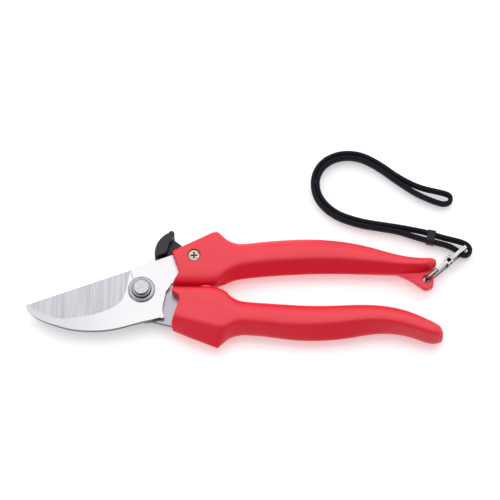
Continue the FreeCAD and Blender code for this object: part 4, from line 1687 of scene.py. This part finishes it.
class Shears:
    """The whole object: finishes first, then each sub-assembly."""

    def __init__(self, nodes: Mapping[str, bpy.types.Object]) -> None:
        """Makes the finishes.

        Args:
            nodes: The model's nodes, by name.
        """
        self.nodes = nodes
        self.spring = ReturnSpring()
        self.red = SatinNylon(
            "red_nylon", (0.80, 0.002, 0.022, 1.0), (0.85, 0.006, 0.028, 1.0), shine=0.7
        ).make()
        self.black = SatinNylon(
            "black_nylon",
            (0.007, 0.007, 0.012, 1.0),
            (0.013, 0.013, 0.021, 1.0),
            roughness=0.42,
            shine=0.38,
        ).make()
        self.keeper = SatinNylon(
            "keeper_plastic",
            (0.013, 0.012, 0.023, 1.0),
            (0.020, 0.019, 0.033, 1.0),
            roughness=0.45,
            shine=0.18,
        ).make()
        self.blade = GroundBladeSteel("blade_steel").make()
        # painted shade: the counter blade's polished colours are a darker copy of the blade steel,
        # for the blade lying under the cutting blade
        self.counter = GroundBladeSteel(
            "counter_steel",
            polished=(0.315, 0.295, 0.322, 1.0),
            polished_tip=(0.29, 0.275, 0.295, 1.0),
        ).make()
        self.turned = TurnedSteel("pivot_steel").make()
        self.nickel = PlatedMetal("hook_nickel").make()
        self.screw = PlatedMetal(
            "screw_nickel",
            (0.44, 0.37, 0.29, 1.0),
            (0.22, 0.17, 0.12, 1.0),
            # the screw's recess, painted dark as grime and painted shade
            recess_floor=0.0117,
            recess_top=0.0123,
        ).make()
        self.brass = PlatedMetal(
            "insert_brass", (0.42, 0.28, 0.10, 1.0), (0.26, 0.17, 0.07, 1.0), roughness=0.26
        ).make()
        self.wire = SpringWire("spring_steel").make()
        self.braid = BraidedCord("black_braid").make()

    def keep(self) -> None:
        """Dresses the nodes whose shape stays."""
        finishes = {
            "cutting_blade": self.blade,
            "counter_blade": self.counter,
            "pivot_bolt": self.turned,
            "glide_washer": self.turned,
            "catch_bush": self.turned,
            "catch_washer": self.wire,
            "catch_screw": self.screw,
            "catch_insert": self.brass,
            "snap_hook_body": self.nickel,
            "snap_hook_gate": self.nickel,
            "snap_hook_rivet": self.nickel,
        }
        for name, material in finishes.items():
            dress(self.nodes[name], material)
            LOG.info("%s keeps its shape", name)

    def grips(self) -> None:
        """Builds both grips with their pockets, seat, slot and lug."""
        upper_cutters = [*CatchBay().cutters(), self.spring.pocket(upper=True)]
        upper_grip().build([Lug().skin()], upper_cutters, self.red)
        lower_grip().build([], [self.spring.pocket(upper=False)], self.red)

    def small_parts(self) -> None:
        """Builds the catch and the collar with eased edges, the pivot and the spring."""
        for name, node, slot, body, finish, softness in (
            ("thumb_catch", "catch_lever", "black_nylon", "catch", self.black, Softness.CATCH),
            ("stop_ring", "stop_collar", "red_nylon", "counter_half", self.red, Softness.COLLAR),
        ):
            piece = merged_copy(self.nodes[node], name)
            ease_edges(piece, softness.value)
            settle(piece, finish, [node], body)
        PivotStack().build(self.turned)
        self.spring.build(self.wire)

    def build(self) -> None:
        """Builds everything, the cord first."""
        Lanyard().build(self.braid, self.keeper)
        self.keep()
        self.grips()
        self.small_parts()


def main() -> None:
    """Loads the frame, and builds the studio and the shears."""
    logging.basicConfig(level=logging.INFO, format="%(name)s: %(message)s")
    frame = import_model()
    Studio().build()
    Shears(frame["nodes"]).build()


if __name__ == "__main__":
    main()
